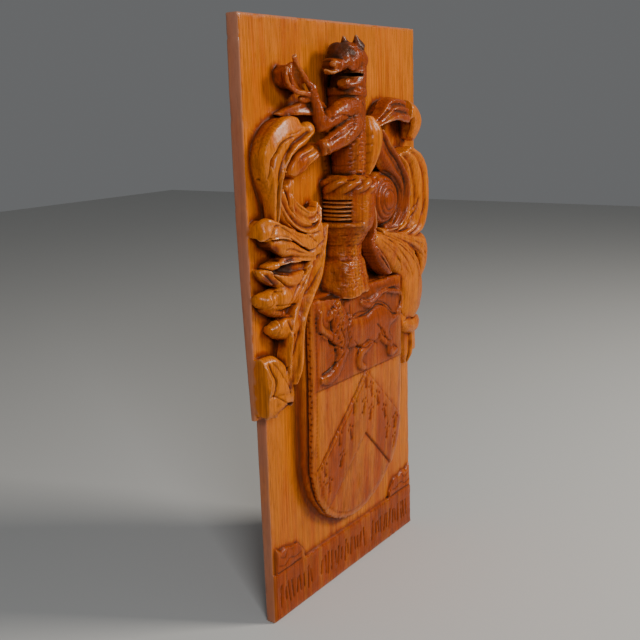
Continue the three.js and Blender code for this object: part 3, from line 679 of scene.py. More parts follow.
def shield_lines(block, sizes):
    """The tooled groove inside the rim, the borders of the chief and the chevron, and what each part is."""
    x, z = block.plane()
    inside = shield_inside(block, sizes)
    block.cuts += 1.1 * hump(inside - 11, 1.6) * (z < SHIELD_TOP - 8)
    half = HALF_MM * sizes.shield_width
    ends = [(LOWER_SHIFT - half + 10, CHIEF_FOOT), (LOWER_SHIFT + half - 8, CHIEF_FOOT)]
    block.line(ends, 3.0, 1.6, taper=False)
    for side in (-1, 1):
        reach = half + 6 - side * (CHEVRON_SHIFT - LOWER_SHIFT)
        for drop in (0, CHEVRON_DEPTH):
            foot = (CHEVRON_SHIFT + side * reach, CHIEF_FOOT - drop - reach * CHEVRON_SLOPE)
            deep = 2.0 if (side < 0) == (drop == 0) else 0.5
            block.line([(CHEVRON_SHIFT, CHIEF_FOOT - drop), foot], 3.4, deep, taper=False)
    for shift, width, deep in ((7, 2.6, 1.6), (3.5, 3.0, -1.6)):
        start = CHIEF_FOOT - shift * 1.37
        foot = (CHEVRON_SHIFT - 120, start - 120 * CHEVRON_SLOPE)
        block.line([(CHEVRON_SHIFT - 6, start - 6), foot], width, deep, taper=False)
    block.cuts[inside < 5] = 0
    below = below_chevron(x, z)
    chevron = (below > 0) & (below < CHEVRON_DEPTH)
    # The shield's top face takes the roll's darker staining as painted shade under the collar
    top = z > SHIELD_TOP - 5 + 0 * x
    chief = (z > CHIEF_FOOT) & ~top
    # A band round the rim takes the ground's light staining as a painted highlight on the rounded front edge
    rim = (inside < 8) & ~top
    inner = (inside > 4) | top
    kinds = block.kind
    for charge, kind in ((chevron, CHEVRON), (chief, CHIEF), (rim, GROUND), (top, ROLL)):
        kinds[(kinds == SHIELD) & (charge & inner)[:, None, :]] = kind


# Beast passant on the chief

SHIELD_BEAST = (
    ((-5.6, 45.6, 2.9), (-2.6, 45, 2.7), (1.4, 44.6, 2.5), (4.6, 45.4, 2.6), (7.4, 45.2, 2.4),
     (9.4, 44.2, 1.3, 0.6)),
    ((-7.4, 51, 0.7, 0.7), (-7.3, 49, 2, 1.3), (-7, 46, 2.2, 1.4), (-6.6, 42.8, 1.6, 1.2),
     (-6.8, 40.4, 0.5, 0.6)),
    ((-8.4, 49.6, 0.9, 1.2), (-9.6, 48.9, 0.8, 1), (-10.4, 48.5, 0.4, 0.5)),
    ((-6.4, 44, 1.5), (-9.2, 45.5, 1), (-11.6, 46.7, 0.8, 0.8), (-12.7, 48.2, 0.8, 0.8),
     (-12.3, 50.2, 0.5, 0.6)),
    ((-5.8, 43, 1.8), (-7.2, 40.8, 1.3), (-8.8, 39.2, 1), (-10.6, 38.8, 1), (-12.8, 39, 0.6, 0.6)),
    ((4.2, 43.6, 1.6, 0.8), (1.4, 41.8, 1.1, 0.8), (-0.9, 40.4, 0.9, 0.8), (-1, 38.9, 0.8, 0.8),
     (0.7, 38, 0.5, 0.6)),
    ((7.4, 45.4, 2.6, 1.1), (7.2, 42.6, 1.7), (8.8, 40.6, 1), (9.2, 38.9, 0.9), (11.6, 38.7, 0.5, 0.6)),
    ((9, 44.4, 0.7, 0.8), (11.6, 45, 0.5, 0.7), (13.2, 46.8, 0.5, 0.7), (12.8, 48.9, 0.5, 0.7),
     (10.4, 49.6, 0.5, 0.7), (7.6, 50.2, 0.5, 0.7), (4.6, 49.6, 0.6, 0.7), (2.4, 48.8, 0.9, 0.8),
     (-0.4, 49.6, 0.5, 0.6)),
)
# Locks of its mane: place and row where each starts
MANE = ((-8.6, 50.4), (-8.3, 48.8), (-8.2, 47.2), (-8.0, 45.6), (-7.8, 44.0), (-8.2, 42.4), (-9.0, 41.0))


def carve_shield_beast(block, sizes):
    """The beast on the chief in low relief, with its mane given the beast's heavier stipple."""
    ground = MM * sizes.shield_rise + CHIEF_RISE
    for stations in SHIELD_BEAST:
        full = [(s[0], s[1], 0.0, s[2], 0.6 * (s[3] if len(s) > 3 else 1)) for s in stations]
        block.add(limb(full, block.thickness, ground), CHIEF, 1.5)
    for x, row in MANE:
        block.paint(x, row, 3.8, 1.3, CHIEF, BEAST)


# Helmet and roll

HELM_RADIUS = 46.0
HELM_TOP = 690.0
HELM_AXIS = -1.7
ROLL_RADIUS = 13.0
ROLL_RISE = 21.0
ROLL_STRANDS = 3
ROLL_TURNS = 5.0
BAR_REACH = 0.25 * HALF_TURN
LEDGE_REACH = 0.42 * HALF_TURN
KEEL_TURN = 0.3 * HALF_TURN
# Profile of the helmet from its collar up: row, rise of its axis in squares, and share of its radius
HELM_PROFILE = (
    (51.6, 0, 1.16), (53.4, 0, 1.12), (56.6, 0.3, 0.94), (57.6, 0.8, 0.74), (59.4, 1.1, 0.68),
    (61.4, 1.6, 0.84), (62.6, 2, 0.94), (64, 2.1, 1), (67, 2.1, 1), (70, 2.1, 0.98), (71, 2.1, 0.7),
)
# Rows of the collar's top, of the ledge and of the bars, and how far apart the bars are
COLLAR_TOP = 57
LEDGE_FOOT = 62.7
LEDGE_TOP = 63.5
BAR_FOOT = 63.6
BAR_TOP = 67.6
BAR_PITCH = 0.66


def helmet(thickness):
    """Helmet turned round an upright axis: collar with a keel, neck, ledge and bars."""
    table = np.array(HELM_PROFILE)
    rows = np.linspace(table[0, 0], table[-1, 0], 300)
    rise = np.interp(rows, table[:, 0], table[:, 1])
    share = np.interp(rows, table[:, 0], table[:, 2])
    turn = np.linspace(0, 2 * HALF_TURN, 121)[:-1]
    away = np.minimum(turn, 2 * HALF_TURN - turn)
    keel = np.clip(1 - np.abs(turn - KEEL_TURN) / 0.5, 0, 1)
    rings = []
    for row, lift, size in zip(rows, rise, share):
        out = np.full(len(turn), size)
        if row < COLLAR_TOP:
            out = out + 0.12 * keel
        if LEDGE_FOOT < row < LEDGE_TOP:
            edge = min(row - LEDGE_FOOT, LEDGE_TOP - row) / 0.2
            out = out + 0.085 * min(edge, 1) * np.clip((LEDGE_REACH - away) / 0.12, 0, 1)
        if BAR_FOOT < row < BAR_TOP:
            slot = (row - BAR_FOOT) / BAR_PITCH % 1
            deep = 0.1 if slot < 0.45 else 0.0
            out = out - deep * np.clip((BAR_REACH - away) / 0.06, 0, 1)
        drop = 0.7 * keel if row < 52 else 0 * keel
        out = out * HELM_RADIUS
        rings.append(np.stack([HELM_AXIS * SQUARE - out * np.cos(turn),
                               front(lift * SQUARE + out * np.sin(turn), thickness),
                               (row - drop) * SQUARE], 1))
    return distances(*loft(np.array(rings)))


def twisted_roll(thickness):
    """Roll of twisted cloth round the helmet's top."""
    ring = HELM_RADIUS - ROLL_RADIUS * 0.6
    middle = np.array([HELM_AXIS * SQUARE, front(ROLL_RISE, thickness), HELM_TOP + 2])
    angle = np.linspace(0, 2 * HALF_TURN, 49)[:-1]
    rings = []
    for turn in np.linspace(-0.25, 1.25, 190) * HALF_TURN:
        across = np.array([-math.cos(turn), -math.sin(turn), 0.0])
        swell = np.abs(np.cos(ROLL_STRANDS / 2 * angle - ROLL_TURNS * turn)) ** 0.6
        radius = ROLL_RADIUS * (0.56 + 0.5 * swell)
        rings.append(middle + across * ring + across * (radius * np.cos(angle))[:, None]
                     + np.array([0, 0, 1.0]) * (radius * np.sin(angle))[:, None])
    return distances(*loft(np.array(rings)))


# Demi-beast

BODY = (
    (-1.2, 69, 2.2, 2.7, 2.9), (-1.25, 73, 2.3, 2.7, 3.0), (-1.5, 77.5, 2.4, 2.9, 3.1),
    (-1.7, 81.5, 2.4, 3.1, 3.15), (-1.5, 84.6, 2.6, 2.9, 2.95), (-1.0, 87, 2.9, 2.6, 2.7),
    (-0.6, 88.8, 3.2, 2.0, 2.2),
)
COLLAR = ((-1.7, 83.3, 2.5, 3.25), (-1.6, 84.4, 2.5, 3.2))
SKULL = (
    (0.9, 87.6, 3.3, 1.2, 1.4), (0.3, 88.3, 3.3, 1.8, 2), (-0.8, 88.9, 3.4, 2.2, 2.3),
    (-2.4, 89.2, 3.4, 2.3, 2.3), (-4.4, 89.1, 3.3, 2.15, 2.1), (-6.1, 88.1, 3.3, 1.35, 2.0),
    (-7.7, 87.85, 3.4, 1.1, 1.4),
)
JAW = (
    (0.2, 85.7, 3.3, 1.1, 1.7), (-1.6, 85.2, 3.5, 1.0, 2.1), (-3.6, 85.0, 3.8, 0.9, 1.6),
    (-4.8, 85.1, 4.0, 0.8, 1.1), (-5.6, 85.3, 4.1, 0.55, 0.7),
)
LIP = (
    (-6.2, 87.2, 4.1, 0.3, 0.7), (-7.3, 86.95, 4.0, 0.34, 0.75), (-8.2, 86.85, 3.8, 0.34, 0.75),
    (-8.6, 87.0, 3.1, 0.28, 0.7),
)
MOUTH = (
    (-9.6, 86.0, 4, 0.65, 3.6), (-8.2, 86.1, 4, 0.55, 3.3), (-6.4, 86.45, 4.3, 0.5, 2.8),
    (-4.6, 86.55, 4.7, 0.42, 2.2), (-3.0, 86.5, 5.0, 0.36, 1.7), (-1.2, 86.45, 5.2, 0.18, 1.2),
)
UPPER_ARM = (
    (-2.5, 81.4, 4.0, 1.9, 1.7), (-6.2, 81.0, 4.4, 1.85, 1.5), (-9.2, 79.9, 4.2, 1.5, 1.3),
    (-10.9, 78.8, 3.8, 1.2, 1.1),
)
RAISED_ARM = (
    (-10.7, 78.4, 3.6, 1.15), (-11.3, 80.4, 3.6, 1.05), (-11.8, 82.3, 3.4, 0.95), (-12.6, 84.0, 3.3, 0.8),
)
LOWER_ARM = (
    (-2.9, 79.2, 4.2, 2.1, 1.8), (-5.4, 78.0, 4.9, 1.95, 1.6), (-8.2, 76.9, 4.9, 1.7, 1.4),
    (-10.8, 76, 4.8, 1.35, 1.2), (-12.4, 75.6, 4.6, 1.2, 1.0),
)
CUFF = ((-11.4, 76.0, 4.7, 1.45, 1.2), (-11.9, 75.5, 4.7, 1.5, 1.25))
LOWER_PAW = (
    (-11.6, 76.6, -10.6, 74.6, 4.3), (-13.6, 76.2, -11.2, 74.1, 4.6), (-15.7, 75.7, -12.4, 73.4, 4.6),
    (-17.5, 75.1, -13.8, 72.6, 4.4), (-18.6, 73.8, -14.9, 71.9, 4.1), (-19.1, 72.7, -16.9, 71.4, 3.6),
)
PAW_LINES = (
    (-0.5, -0.45, 0.15, 0.9, -4.5, 2.0), (0.0, 0.05, 0.1, 0.95, -4.5, 2.2),
    (0.55, 0.55, 0.1, 0.98, 3.5, 2.6),
)
PAW_WEB = (
    (-12.9, 84.5, -12.3, 83.4, 3.1), (-14.0, 85.7, -14.1, 83.8, 3.1), (-14.8, 86.8, -16.0, 83.9, 3.0),
    (-15.5, 87.6, -17.8, 84.8, 2.9), (-16, 88.3, -18.3, 86.4, 2.8),
)
RAISED_PAW = (
    ((-12.6, 84.5, 3.3, 0.6), (-14.0, 85.8, 3.3, 0.42), (-14.9, 86.9, 3.2, 0.36), (-15.8, 88, 3.1, 0.38),
     (-16.5, 89.1, 3.1, 0.48, 0.42)),
    ((-12.6, 83.5, 3.2, 0.6), (-14.2, 83.8, 3.2, 0.42), (-16, 84, 3.1, 0.38), (-17.7, 84.9, 3.0, 0.36),
     (-18.3, 86.2, 2.9, 0.34), (-18.0, 87.4, 2.9, 0.25)),
    ((-16.6, 84.4, 3.0, 0.3), (-17.2, 85.6, 3.0, 0.34), (-17.4, 86.9, 2.9, 0.3), (-17, 87.8, 2.9, 0.2)),
    ((-12.2, 83.3, 2.9, 0.75), (-13.4, 82.9, 2.7, 0.65), (-14.6, 83.0, 2.5, 0.4)),
)
# Dark and shaded parts of the face: place, row, rise and radius
FACE_SHADES = (
    ((-5.6, 90.2, 3.4, 2.1), DARK), ((-3.9, 89.8, 5.4, 0.6), DARK),
    ((-4.4, 86.0, 1.8, 1.9), SHADE), ((-8.4, 88.6, 2.6, 1.3), DARK),
)
# Lines of the face, the neck and the chest: width, depth, then points in millimetres
BEAST_LINES = (
    (3.0, 1.4, (-38, 858), (-48, 848), (-30, 843)),
    (3.0, 1.4, (-66, 883), (-60, 876), (-62, 869)),
    (3.0, 1.0, (-30, 880), (-20, 872), (-18, 864)),
    (2.8, 1.6, (-70, 893), (-58, 886), (-50, 892)),
    (2.6, 1.4, (-34, 886), (-32, 876), (-34, 868)),
    (2.4, 1.2, (-44, 884), (-43, 874), (-46, 868)),
    (4.5, 1.6, (-36, 792), (-62, 788), (-88, 777), (-112, 766)),
    (4.0, 1.8, (-20, 826), (-8, 812), (-6, 796), (-14, 780), (-36, 765)),
    (5.0, -0.8, (-46, 818), (-62, 812), (-70, 802)),
    (2.6, 1.4, (2, 790), (5, 780), (1, 774), (-3, 778)),
)


def carve_demi_beast(block):
    """Collared demi-beast rising from the roll, its head in the round and facing left."""
    thickness = block.thickness
    carve_head(block)
    for stations in (UPPER_ARM, RAISED_ARM):
        block.add(limb(stations, thickness), BEAST, 1.2)
    block.add(leaf(WEB, PAW_WEB, thickness, 7.0, (), 1.5, 4.0), BAND, 0.6)
    for stations in RAISED_PAW:
        block.add(limb(stations, thickness), BEAST, 0.8)
    block.add(boss(-12.6, 84.3, 3.7, 0.8, 0.8, 0.55, thickness), BEAST, 0.8)
    block.add(leaf(CROWN, LOWER_PAW, thickness, 7.0, PAW_LINES, 2.5, 6.0), SHIELD, 1.0)
    block.add(limb(LOWER_ARM, thickness), BEAST, 1.0)
    block.add(limb(CUFF, thickness, cap=0.15), BEAST, 0.6)
    block.lines(BEAST_LINES)
    for k in range(3):
        lock = [(4 + 3 * k, 826), (8 + 2 * k, 800), (9 + 2 * k, 770), (6 + 2 * k, 742)]
        block.line(lock, 2.4, 0.8)


def carve_head(block):
    """Neck, collar, skull, jaw and ears, the planes of the face, and the eye and the nostril."""
    thickness = block.thickness
    for stations, blend, cap in ((BODY, 1.5, 0.3), (COLLAR, 0.4, 0.1), (SKULL, 1.5, 0.5), (JAW, 1.5, 0.3)):
        block.add(limb(stations, thickness, cap=cap), BEAST, blend)
    for rise in (2.3, 4.6):
        ear = ((-1.2, 90.5, rise, 1.6, 1.0), (-1.6, 91.5, rise, 0.9, 0.65), (-1.9, 92.5, rise, 0.15, 0.15))
        block.add(limb(ear, thickness), DARK, 1.0)
    block.add(boss(-4.9, 89.9, 3.0, 1.6, 1.5, 1.6, thickness), BEAST, 1.2)
    block.add(boss(-3.6, 88.1, 5.0, 1.5, 1.1, 0.6, thickness), BEAST, 2.0)
    # The forehead's facet is painted dark, partly dark staining and partly painted shade
    block.cut(beyond_plane(-5.6, 90.2, 4.6, (-0.5, -0.62, 0.6), 2.3, thickness), DARK)
    block.cut(beyond_plane(-6.9, 88.6, 5.05, (-0.45, -0.89, -0.1), 1.8, thickness))
    block.cut(limb(MOUTH, thickness), SHADE)
    block.add(limb(LIP, thickness), BEAST, 0.6)
    block.add(boss(-8.2, 88.0, 4.4, 0.6, 0.55, 0.5, thickness), BEAST, 0.4)
    block.add(boss(-5.0, 85.4, 4.9, 0.7, 0.5, 0.4, thickness), BEAST, 0.5)
    block.ring(-39, 898, 8.2, 2.8, 1.9)
    block.dimple(-39, 898, 5.5, 1.0)
    block.dimple(-39, 900, 2.4, -1.4)
    block.ring(-82, 880, 4.6, 2.4, 1.2)
    for place, kind in FACE_SHADES:
        block.paint(*place, BEAST, kind)


# Mantling

# Each leaf: section, kind, undercut, rungs from root to tip, and veins
LEFT_MANTLING = (
    (CROWN, MANTLING, 3,
     ((-19, 66, -9, 66, 1.6), (-19.5, 60, -10, 60, 2), (-20.5, 55, -12, 55, 2), (-20.5, 50, -15, 50, 1.8),
      (-20, 45.5, -16, 45.5, 1.5)), ()),
    # leaf behind the arm
    (HOOD, BAND, 7,
     ((-7, 82, -7, 79.3, 3), (-9.4, 82.9, -9, 79.9, 3.3), (-12.5, 82.9, -11.5, 80.4, 3.4),
      (-15.4, 82.2, -14.5, 80.6, 2.9), (-18, 81.2, -17.6, 80.5, 1.6)), ((-0.2, -0.1, 0.1, 0.9, 3.5, 1.6),)),
    # top lobe, its slope outside the crease first
    (UPPER, MANTLING, 2,
     ((-21.8, 66.6, -20.4, 66.8, 2.0), (-22.8, 69.6, -21.2, 69.9, 2.7), (-23.9, 72.3, -22.4, 72.2, 3.3),
      (-24.2, 75, -23, 74.4, 3.5), (-23.1, 77.6, -21.8, 76.4, 3.7), (-21, 79.5, -19.8, 77.6, 3.8),
      (-18.4, 80.5, -17.2, 78.2, 3.8), (-16.2, 80.5, -15.2, 78.6, 3.6)), ()),
    (RIDGED, MANTLING, 6,
     ((-22.4, 63.6, -20.6, 64.8, 2.6), (-22.2, 66.4, -20.2, 67.2, 3.1), (-22.7, 70, -20.2, 70.2, 3.6),
      (-23, 73.2, -19.4, 72.4, 4), (-22.3, 75.7, -17.9, 74.2, 4.2), (-20.7, 77.8, -15.7, 75.2, 4.3),
      (-18, 79, -13.7, 76, 4.3), (-15, 79.3, -12.2, 77.4, 4.1)), ((0.6, 0.55, 0.1, 0.6, 5, 1.4),)),
    # swirl under the lobe
    (FLUTED, MANTLING, 5,
     ((-20.6, 68.6, -17.8, 70.8, 2.4), (-19.2, 65.6, -16.2, 68.6, 2.7), (-16.8, 63.4, -14.2, 67.2, 2.9),
      (-13.4, 62.4, -12.4, 66.4, 2.9), (-10.2, 63.4, -11.2, 66.6, 2.8), (-8.9, 65.8, -10.4, 67.3, 2.4)),
     ((-0.45, -0.4, 0.05, 0.95, 3, 1.6), (0.1, 0.1, 0.0, 0.95, 3, 1.8), (0.6, 0.6, 0.1, 0.95, 2.6, 1.4))),
    (CROWN, MANTLING, 4,
     ((-17.2, 72.6, -16.2, 72.4, 2.4), (-18, 70.4, -16.6, 70, 2.8), (-18.3, 68, -17, 67.6, 2.9),
      (-17.6, 66, -16.6, 65.6, 2.8)), ()),
    # first leaf: lower face, then the upper face that overlaps it
    (LOWER, MANTLING, 9,
     ((-10, 61.8, -9.6, 59.2, 3), (-13.4, 60.6, -12.6, 58.8, 3.1), (-16, 61.4, -15.6, 59.3, 3.3),
      (-18.6, 62.6, -18.6, 59.9, 3.5), (-21, 63.4, -21, 60.2, 3.5), (-23.0, 63.4, -22.6, 61.0, 2.9)),
     ((0.3, 0.2, 0.35, 0.9, 5, 1.2),)),
    (UPPER, MANTLING, 4,
     ((-9.4, 64.2, -10, 61.4, 3.1), (-12.6, 63.2, -13.4, 60.3, 3.3), (-15.6, 63.2, -16, 61.0, 3.5),
      (-18.4, 64.2, -18.6, 62.2, 3.7), (-20.9, 65.2, -21, 63.0, 3.8), (-23.4, 66.2, -23.5, 63.1, 3.5),
      (-24.8, 65.6, -25, 63, 2.6), (-25.1, 64.6, -25.1, 63.6, 1.6)), ((-0.35, -0.4, 0.05, 0.8, 5, 1.6),)),
    # lip over the pocket
    (HOOD, MANTLING, 6,
     ((-12.2, 60, -12, 58.4, 3.1), (-15, 60, -15, 58.6, 3.2), (-17.8, 60.2, -17.8, 58.9, 3.2),
      (-20, 60, -20.2, 58.9, 2.9), (-21.9, 59.2, -22.1, 58.4, 2.2)), ()),
    (CROWN, MANTLING, 4,
     ((-20.4, 59.6, -20.4, 57.9, 2.2), (-21.8, 59.5, -21.6, 58, 2.5), (-22.8, 59.2, -22.6, 58.2, 1.8)), ()),
    # second leaf: dark left face, then the bright one
    (UPPER, MANTLING, 8,
     ((-24.9, 58.5, -23.8, 58.7, 2.0), (-24.5, 57.2, -22.8, 57.6, 2.6), (-22.8, 56.1, -21.4, 56.5, 2.9),
      (-20.6, 55.2, -19.9, 55.4, 2.8)), ()),
    (CROWN, MANTLING, 7,
     ((-14.6, 57.4, -15.6, 54.6, 3.1), (-17, 57.4, -17.8, 54.8, 3.2), (-19.2, 57.6, -19.8, 55.3, 3.3),
      (-21.2, 58, -21.4, 56.6, 3.1), (-23.4, 58.7, -23.2, 57.9, 2.5)), ((0.1, 0.0, 0.1, 0.8, 5, 1.4),)),
    # third leaf with a blunt rounded tip
    (CROWN, MANTLING, 9,
     ((-15, 56.4, -17, 52.2, 3.2), (-18, 55.9, -19.2, 51.9, 3.2), (-20.9, 55.5, -21.6, 51.9, 3.0),
      (-23.2, 55.3, -23.4, 52.3, 2.5), (-24.6, 55, -24.6, 52.9, 1.9), (-25.1, 54.5, -25.1, 53.5, 1.2)), ()),
    # fourth leaf
    (CROWN, MANTLING, 9,
     ((-16, 51.8, -17, 47.6, 3.1), (-17.8, 51.4, -18.4, 46.9, 3.1), (-19.4, 51.1, -19.7, 46.8, 2.9),
      (-21, 50.5, -21.1, 47.4, 2.5), (-22.2, 49.8, -22.2, 48.3, 1.8)), ()),
    # stem with its two long ridges, ending in a blunt tip
    (TWIN, MANTLING, 6,
     ((-11, 63, -7.8, 63.8, 3), (-13.2, 59.6, -8.9, 60.2, 3.3), (-16, 55.8, -10.2, 56, 3.5),
      (-18, 52.8, -12.8, 53, 3.6), (-19.4, 49.6, -15.4, 50, 3.7), (-20.4, 46.2, -16.2, 46.4, 3.7),
      (-20.6, 42.8, -16.4, 42.6, 3.5), (-19.6, 40.2, -17, 39.8, 2.7)),
     ((-0.15, -0.25, 0.0, 0.95, 3.4, 2.4), (0.7, 0.6, 0.1, 0.8, 3, 1.8), (-0.66, -0.62, 0.1, 0.7, 3, 1.6),
      (0.25, 0.2, 0.4, 0.98, -4, 1.6), (-0.45, -0.5, 0.35, 0.9, 2.6, 1.2))),
    # block leaf at the shoulder
    (LOBE, MANTLING, 2,
     ((-17.8, 39.8, -17.8, 37.2, 1.9), (-19.4, 42.4, -19.2, 36.2, 3), (-21.2, 44.4, -21.2, 35.8, 3.4),
      (-22.6, 45.2, -22.8, 35.8, 3.2), (-24, 45.2, -24.2, 35.8, 2.9), (-26.6, 45.2, -26.6, 36, 2.5)),
     ((0.15, 0.3, 0.1, 0.85, 5, 2.0), (0.66, 0.5, 0.3, 0.9, 3, 1.5))),
)

RIGHT_MANTLING = (
    (CROWN, MANTLING, 5,
     ((3.0, 80.2, 5.0, 79.8, 3.8), (2.7, 77.8, 6.6, 77.6, 4.9), (2.6, 74.8, 6.4, 75.0, 4.9),
      (2.9, 72.2, 5.2, 72.4, 4.3), (3.2, 70.8, 4.2, 70.8, 3.5)), ((-0.3, -0.3, 0.1, 0.9, 3, 1.4),)),
    (STRAP, BAND, 6,
     ((5.2, 79, 5.9, 78.1, 4), (7.7, 80.3, 8.3, 78.8, 4.6), (9.3, 81.9, 10.6, 79.1, 4.7),
      (11.2, 82.9, 12.2, 79.1, 4.7), (13.8, 83, 13.8, 78.8, 4.6), (16.4, 82.6, 15.9, 78.6, 4.3)),
     ((-0.25, -0.25, 0.1, 1.05, 3.5, 1.6), (0.4, 0.4, 0.15, 1.05, 3, 1.2))),
    (LOBE, MANTLING, 5,
     ((18.2, 82.6, 17.4, 79, 3.8), (20.4, 81.8, 18.4, 79, 3.8), (22.6, 79.6, 19, 78.6, 3.7),
      (22.8, 77.2, 19.2, 77.4, 3.3), (21.8, 75.4, 19.4, 76.4, 2.6)), ()),
    (BRIM, BAND, 6,
     ((7.4, 78.2, 5, 76.4, 4.4), (10.4, 75.7, 6.6, 73.6, 4.4), (13.4, 73.4, 9.4, 70.7, 4.3),
      (16.7, 69.5, 13.2, 68, 4.1), (17.3, 66, 14.3, 66, 3.9), (16.6, 62.3, 14, 63.8, 3.7),
      (13.8, 60.1, 12.5, 62.2, 3.5), (9.8, 59.8, 10, 61.9, 3.3)),
     ((-0.72, -0.72, 0.05, 0.9, 3, 1.4), (0.1, 0.1, 0.1, 0.5, 6, 1.5))),
    (SHEET, MANTLING, 3,
     ((14.4, 73, 18.6, 74.4, 3.4), (16.6, 71, 21.8, 73.1, 3.7), (17.5, 68.4, 24.1, 70.3, 3.8),
      (17.8, 66, 24.7, 66.4, 3.8), (17.2, 63.2, 24.2, 62, 3.8), (15.6, 60.8, 22.2, 58.9, 3.6),
      (12, 59.6, 16, 57.4, 3.2)),
     ((-0.45, -0.4, 0.35, 1, 3.5, 1.6), (0.2, 0.25, 0.1, 1, 3, 1.8), (-0.75, -0.72, 0.5, 1, 3, 1.2))),
    (LOBE, MANTLING, 4,
     ((8, 61.2, 8, 59.2, 3.5), (13.5, 60.1, 13, 58, 3.7), (19, 59, 17.2, 56.6, 3.8),
      (23.6, 58.2, 20.2, 55.2, 3.8), (25, 55.6, 21.2, 53.8, 3.6), (24.9, 52.4, 21.6, 52.2, 3.3),
      (23.2, 50, 21.4, 51, 2.9)), ((-0.5, -0.5, 0.15, 0.95, 3.5, 1.4), (0.2, 0.2, 0.1, 0.95, 3.5, 1.5))),
    (CROWN, MANTLING, 5,
     ((4.6, 58.4, 5.6, 60.8, 3.6), (7.4, 56, 11, 60, 4), (10.6, 53.4, 17, 58, 4.1),
      (13.4, 51.2, 21.2, 54, 4.1), (14.6, 48, 22.8, 49, 4), (14.4, 45.4, 22.4, 45.4, 3.7),
      (15.0, 43.2, 21.4, 43.6, 3.2)),
     ((-0.42, -0.4, 0.05, 0.6, 3, 1.6), (0.3, 0.35, 0.05, 0.55, 3, 1.8), (-0.05, -0.1, 0.1, 0.7, 2.6, 1.4),
      (0.7, 0.7, 0.1, 0.6, 2.6, 1.6))),
    # two curled tips under the hanging leaf
    (RIDGED, MANTLING, 5,
     ((15.0, 42.2, 19.6, 42.6, 2.4), (15.0, 40.2, 20.6, 40.6, 3.0), (15.2, 38.0, 20.8, 38.4, 3.1),
      (15.8, 36.2, 20.0, 36.2, 2.9), (17.0, 34.8, 18.8, 34.8, 2.3)), ((0.4, 0.2, 0.2, 0.9, 2.6, 1.8),)),
    (CROWN, MANTLING, 5,
     ((14.6, 45.2, 13.6, 43.6, 2.9), (15.4, 44.4, 14.4, 41.6, 3.4), (17.8, 43.4, 17.0, 40.0, 3.5),
      (20.4, 43.2, 20.4, 39.9, 3.2), (22.2, 43.0, 22.4, 40.6, 2.4)), ((0.1, 0.1, 0.2, 0.9, 2.6, 1.4),)),
    (CROWN, BAND, 4,
     ((2.4, 67.6, 3.2, 67.8, 3.8), (3.4, 64.8, 4.3, 64.8, 4.3), (3.6, 61.4, 4.5, 61.4, 4.4),
      (2.8, 59.4, 4.2, 59, 4.3), (3.4, 57.4, 5.4, 58, 4.5), (5.8, 54.6, 8.0, 56.0, 4.4),
      (8.8, 52.6, 10.2, 53.6, 3.9)), ((0, 0, 0.3, 1.05, 3, 2.4),)),
)


# Deep pockets between and under the leaves, in the stations of a limb
HOLLOWS = (
    ((-22.8, 58.0, 2.9, 0.25, 1), (-20.8, 58.1, 3.2, 0.5, 1.8), (-18.6, 58.1, 3.4, 0.5, 1.6),
     (-16.5, 57.9, 3.5, 0.2, 1.2)),
    ((-25.0, 61.9, 1.2, 0.5, 1), (-24.0, 61.5, 1.7, 0.9, 1.3), (-22.6, 60.6, 2.0, 0.7, 1.4),
     (-20.8, 59.8, 2.2, 0.4, 1.2)),
    ((-11.5, 52.3, 2.6, 0.5, 0.9), (-8, 52.2, 3.0, 0.8, 1.1), (-4.8, 51.8, 3.6, 0.7, 0.9),
     (-2.8, 51.0, 3.9, 0.35, 0.5)),
    ((-23.0, 35.9, 3.2, 0.7, 1.3), (-21.6, 36.3, 3.3, 1.1, 1.7), (-20.2, 36.4, 3.2, 1, 1.6),
     (-19, 36.4, 2.8, 0.7, 1.2)),
)


# Curled ends of the left leaves: place, row and rise of the middle, then radii across, up and outwards
CURLS = (
    (-23.6, 64.0, 2.1, 1.45, 1.3, 1.2), (-23.0, 53.8, 1.6, 1.6, 1.6, 1.5), (-20.5, 53.9, 1.9, 2.1, 1.9, 1.6),
    (-20.6, 49.1, 1.5, 1.7, 1.5, 1.2), (-13.2, 78.4, 2.6, 1.5, 1.3, 1.2),
)

# Turned-under faces of the leaves, painted in shade: place, row, rise and radius
TURNED_UNDER = (
    (-22.5, 61.4, 1.9, 1.3), (-23.1, 61.9, 1.0, 1.0), (-23.9, 57.2, 2.2, 0.8), (-22.6, 56.4, 2.4, 0.8),
    (-20.3, 46.9, 1.2, 1.0), (-20.0, 40.4, 3.1, 0.9), (-19.0, 58.4, 2.2, 1.5), (20.9, 43.3, 3.4, 0.8),
    (16.0, 39.7, 2.6, 0.7),
)

# Underside of the third leaf, given the beast's darker staining as painted shade, in the stations of a limb
LEAF_UNDERSIDE = (
    (-24.0, 52.9, 0.9, 0.7, 0.9), (-22.6, 52.2, 1.1, 0.8, 1.1), (-21.0, 51.6, 1.2, 0.8, 1.2),
    (-19.6, 51.2, 1.2, 0.6, 1.0),
)

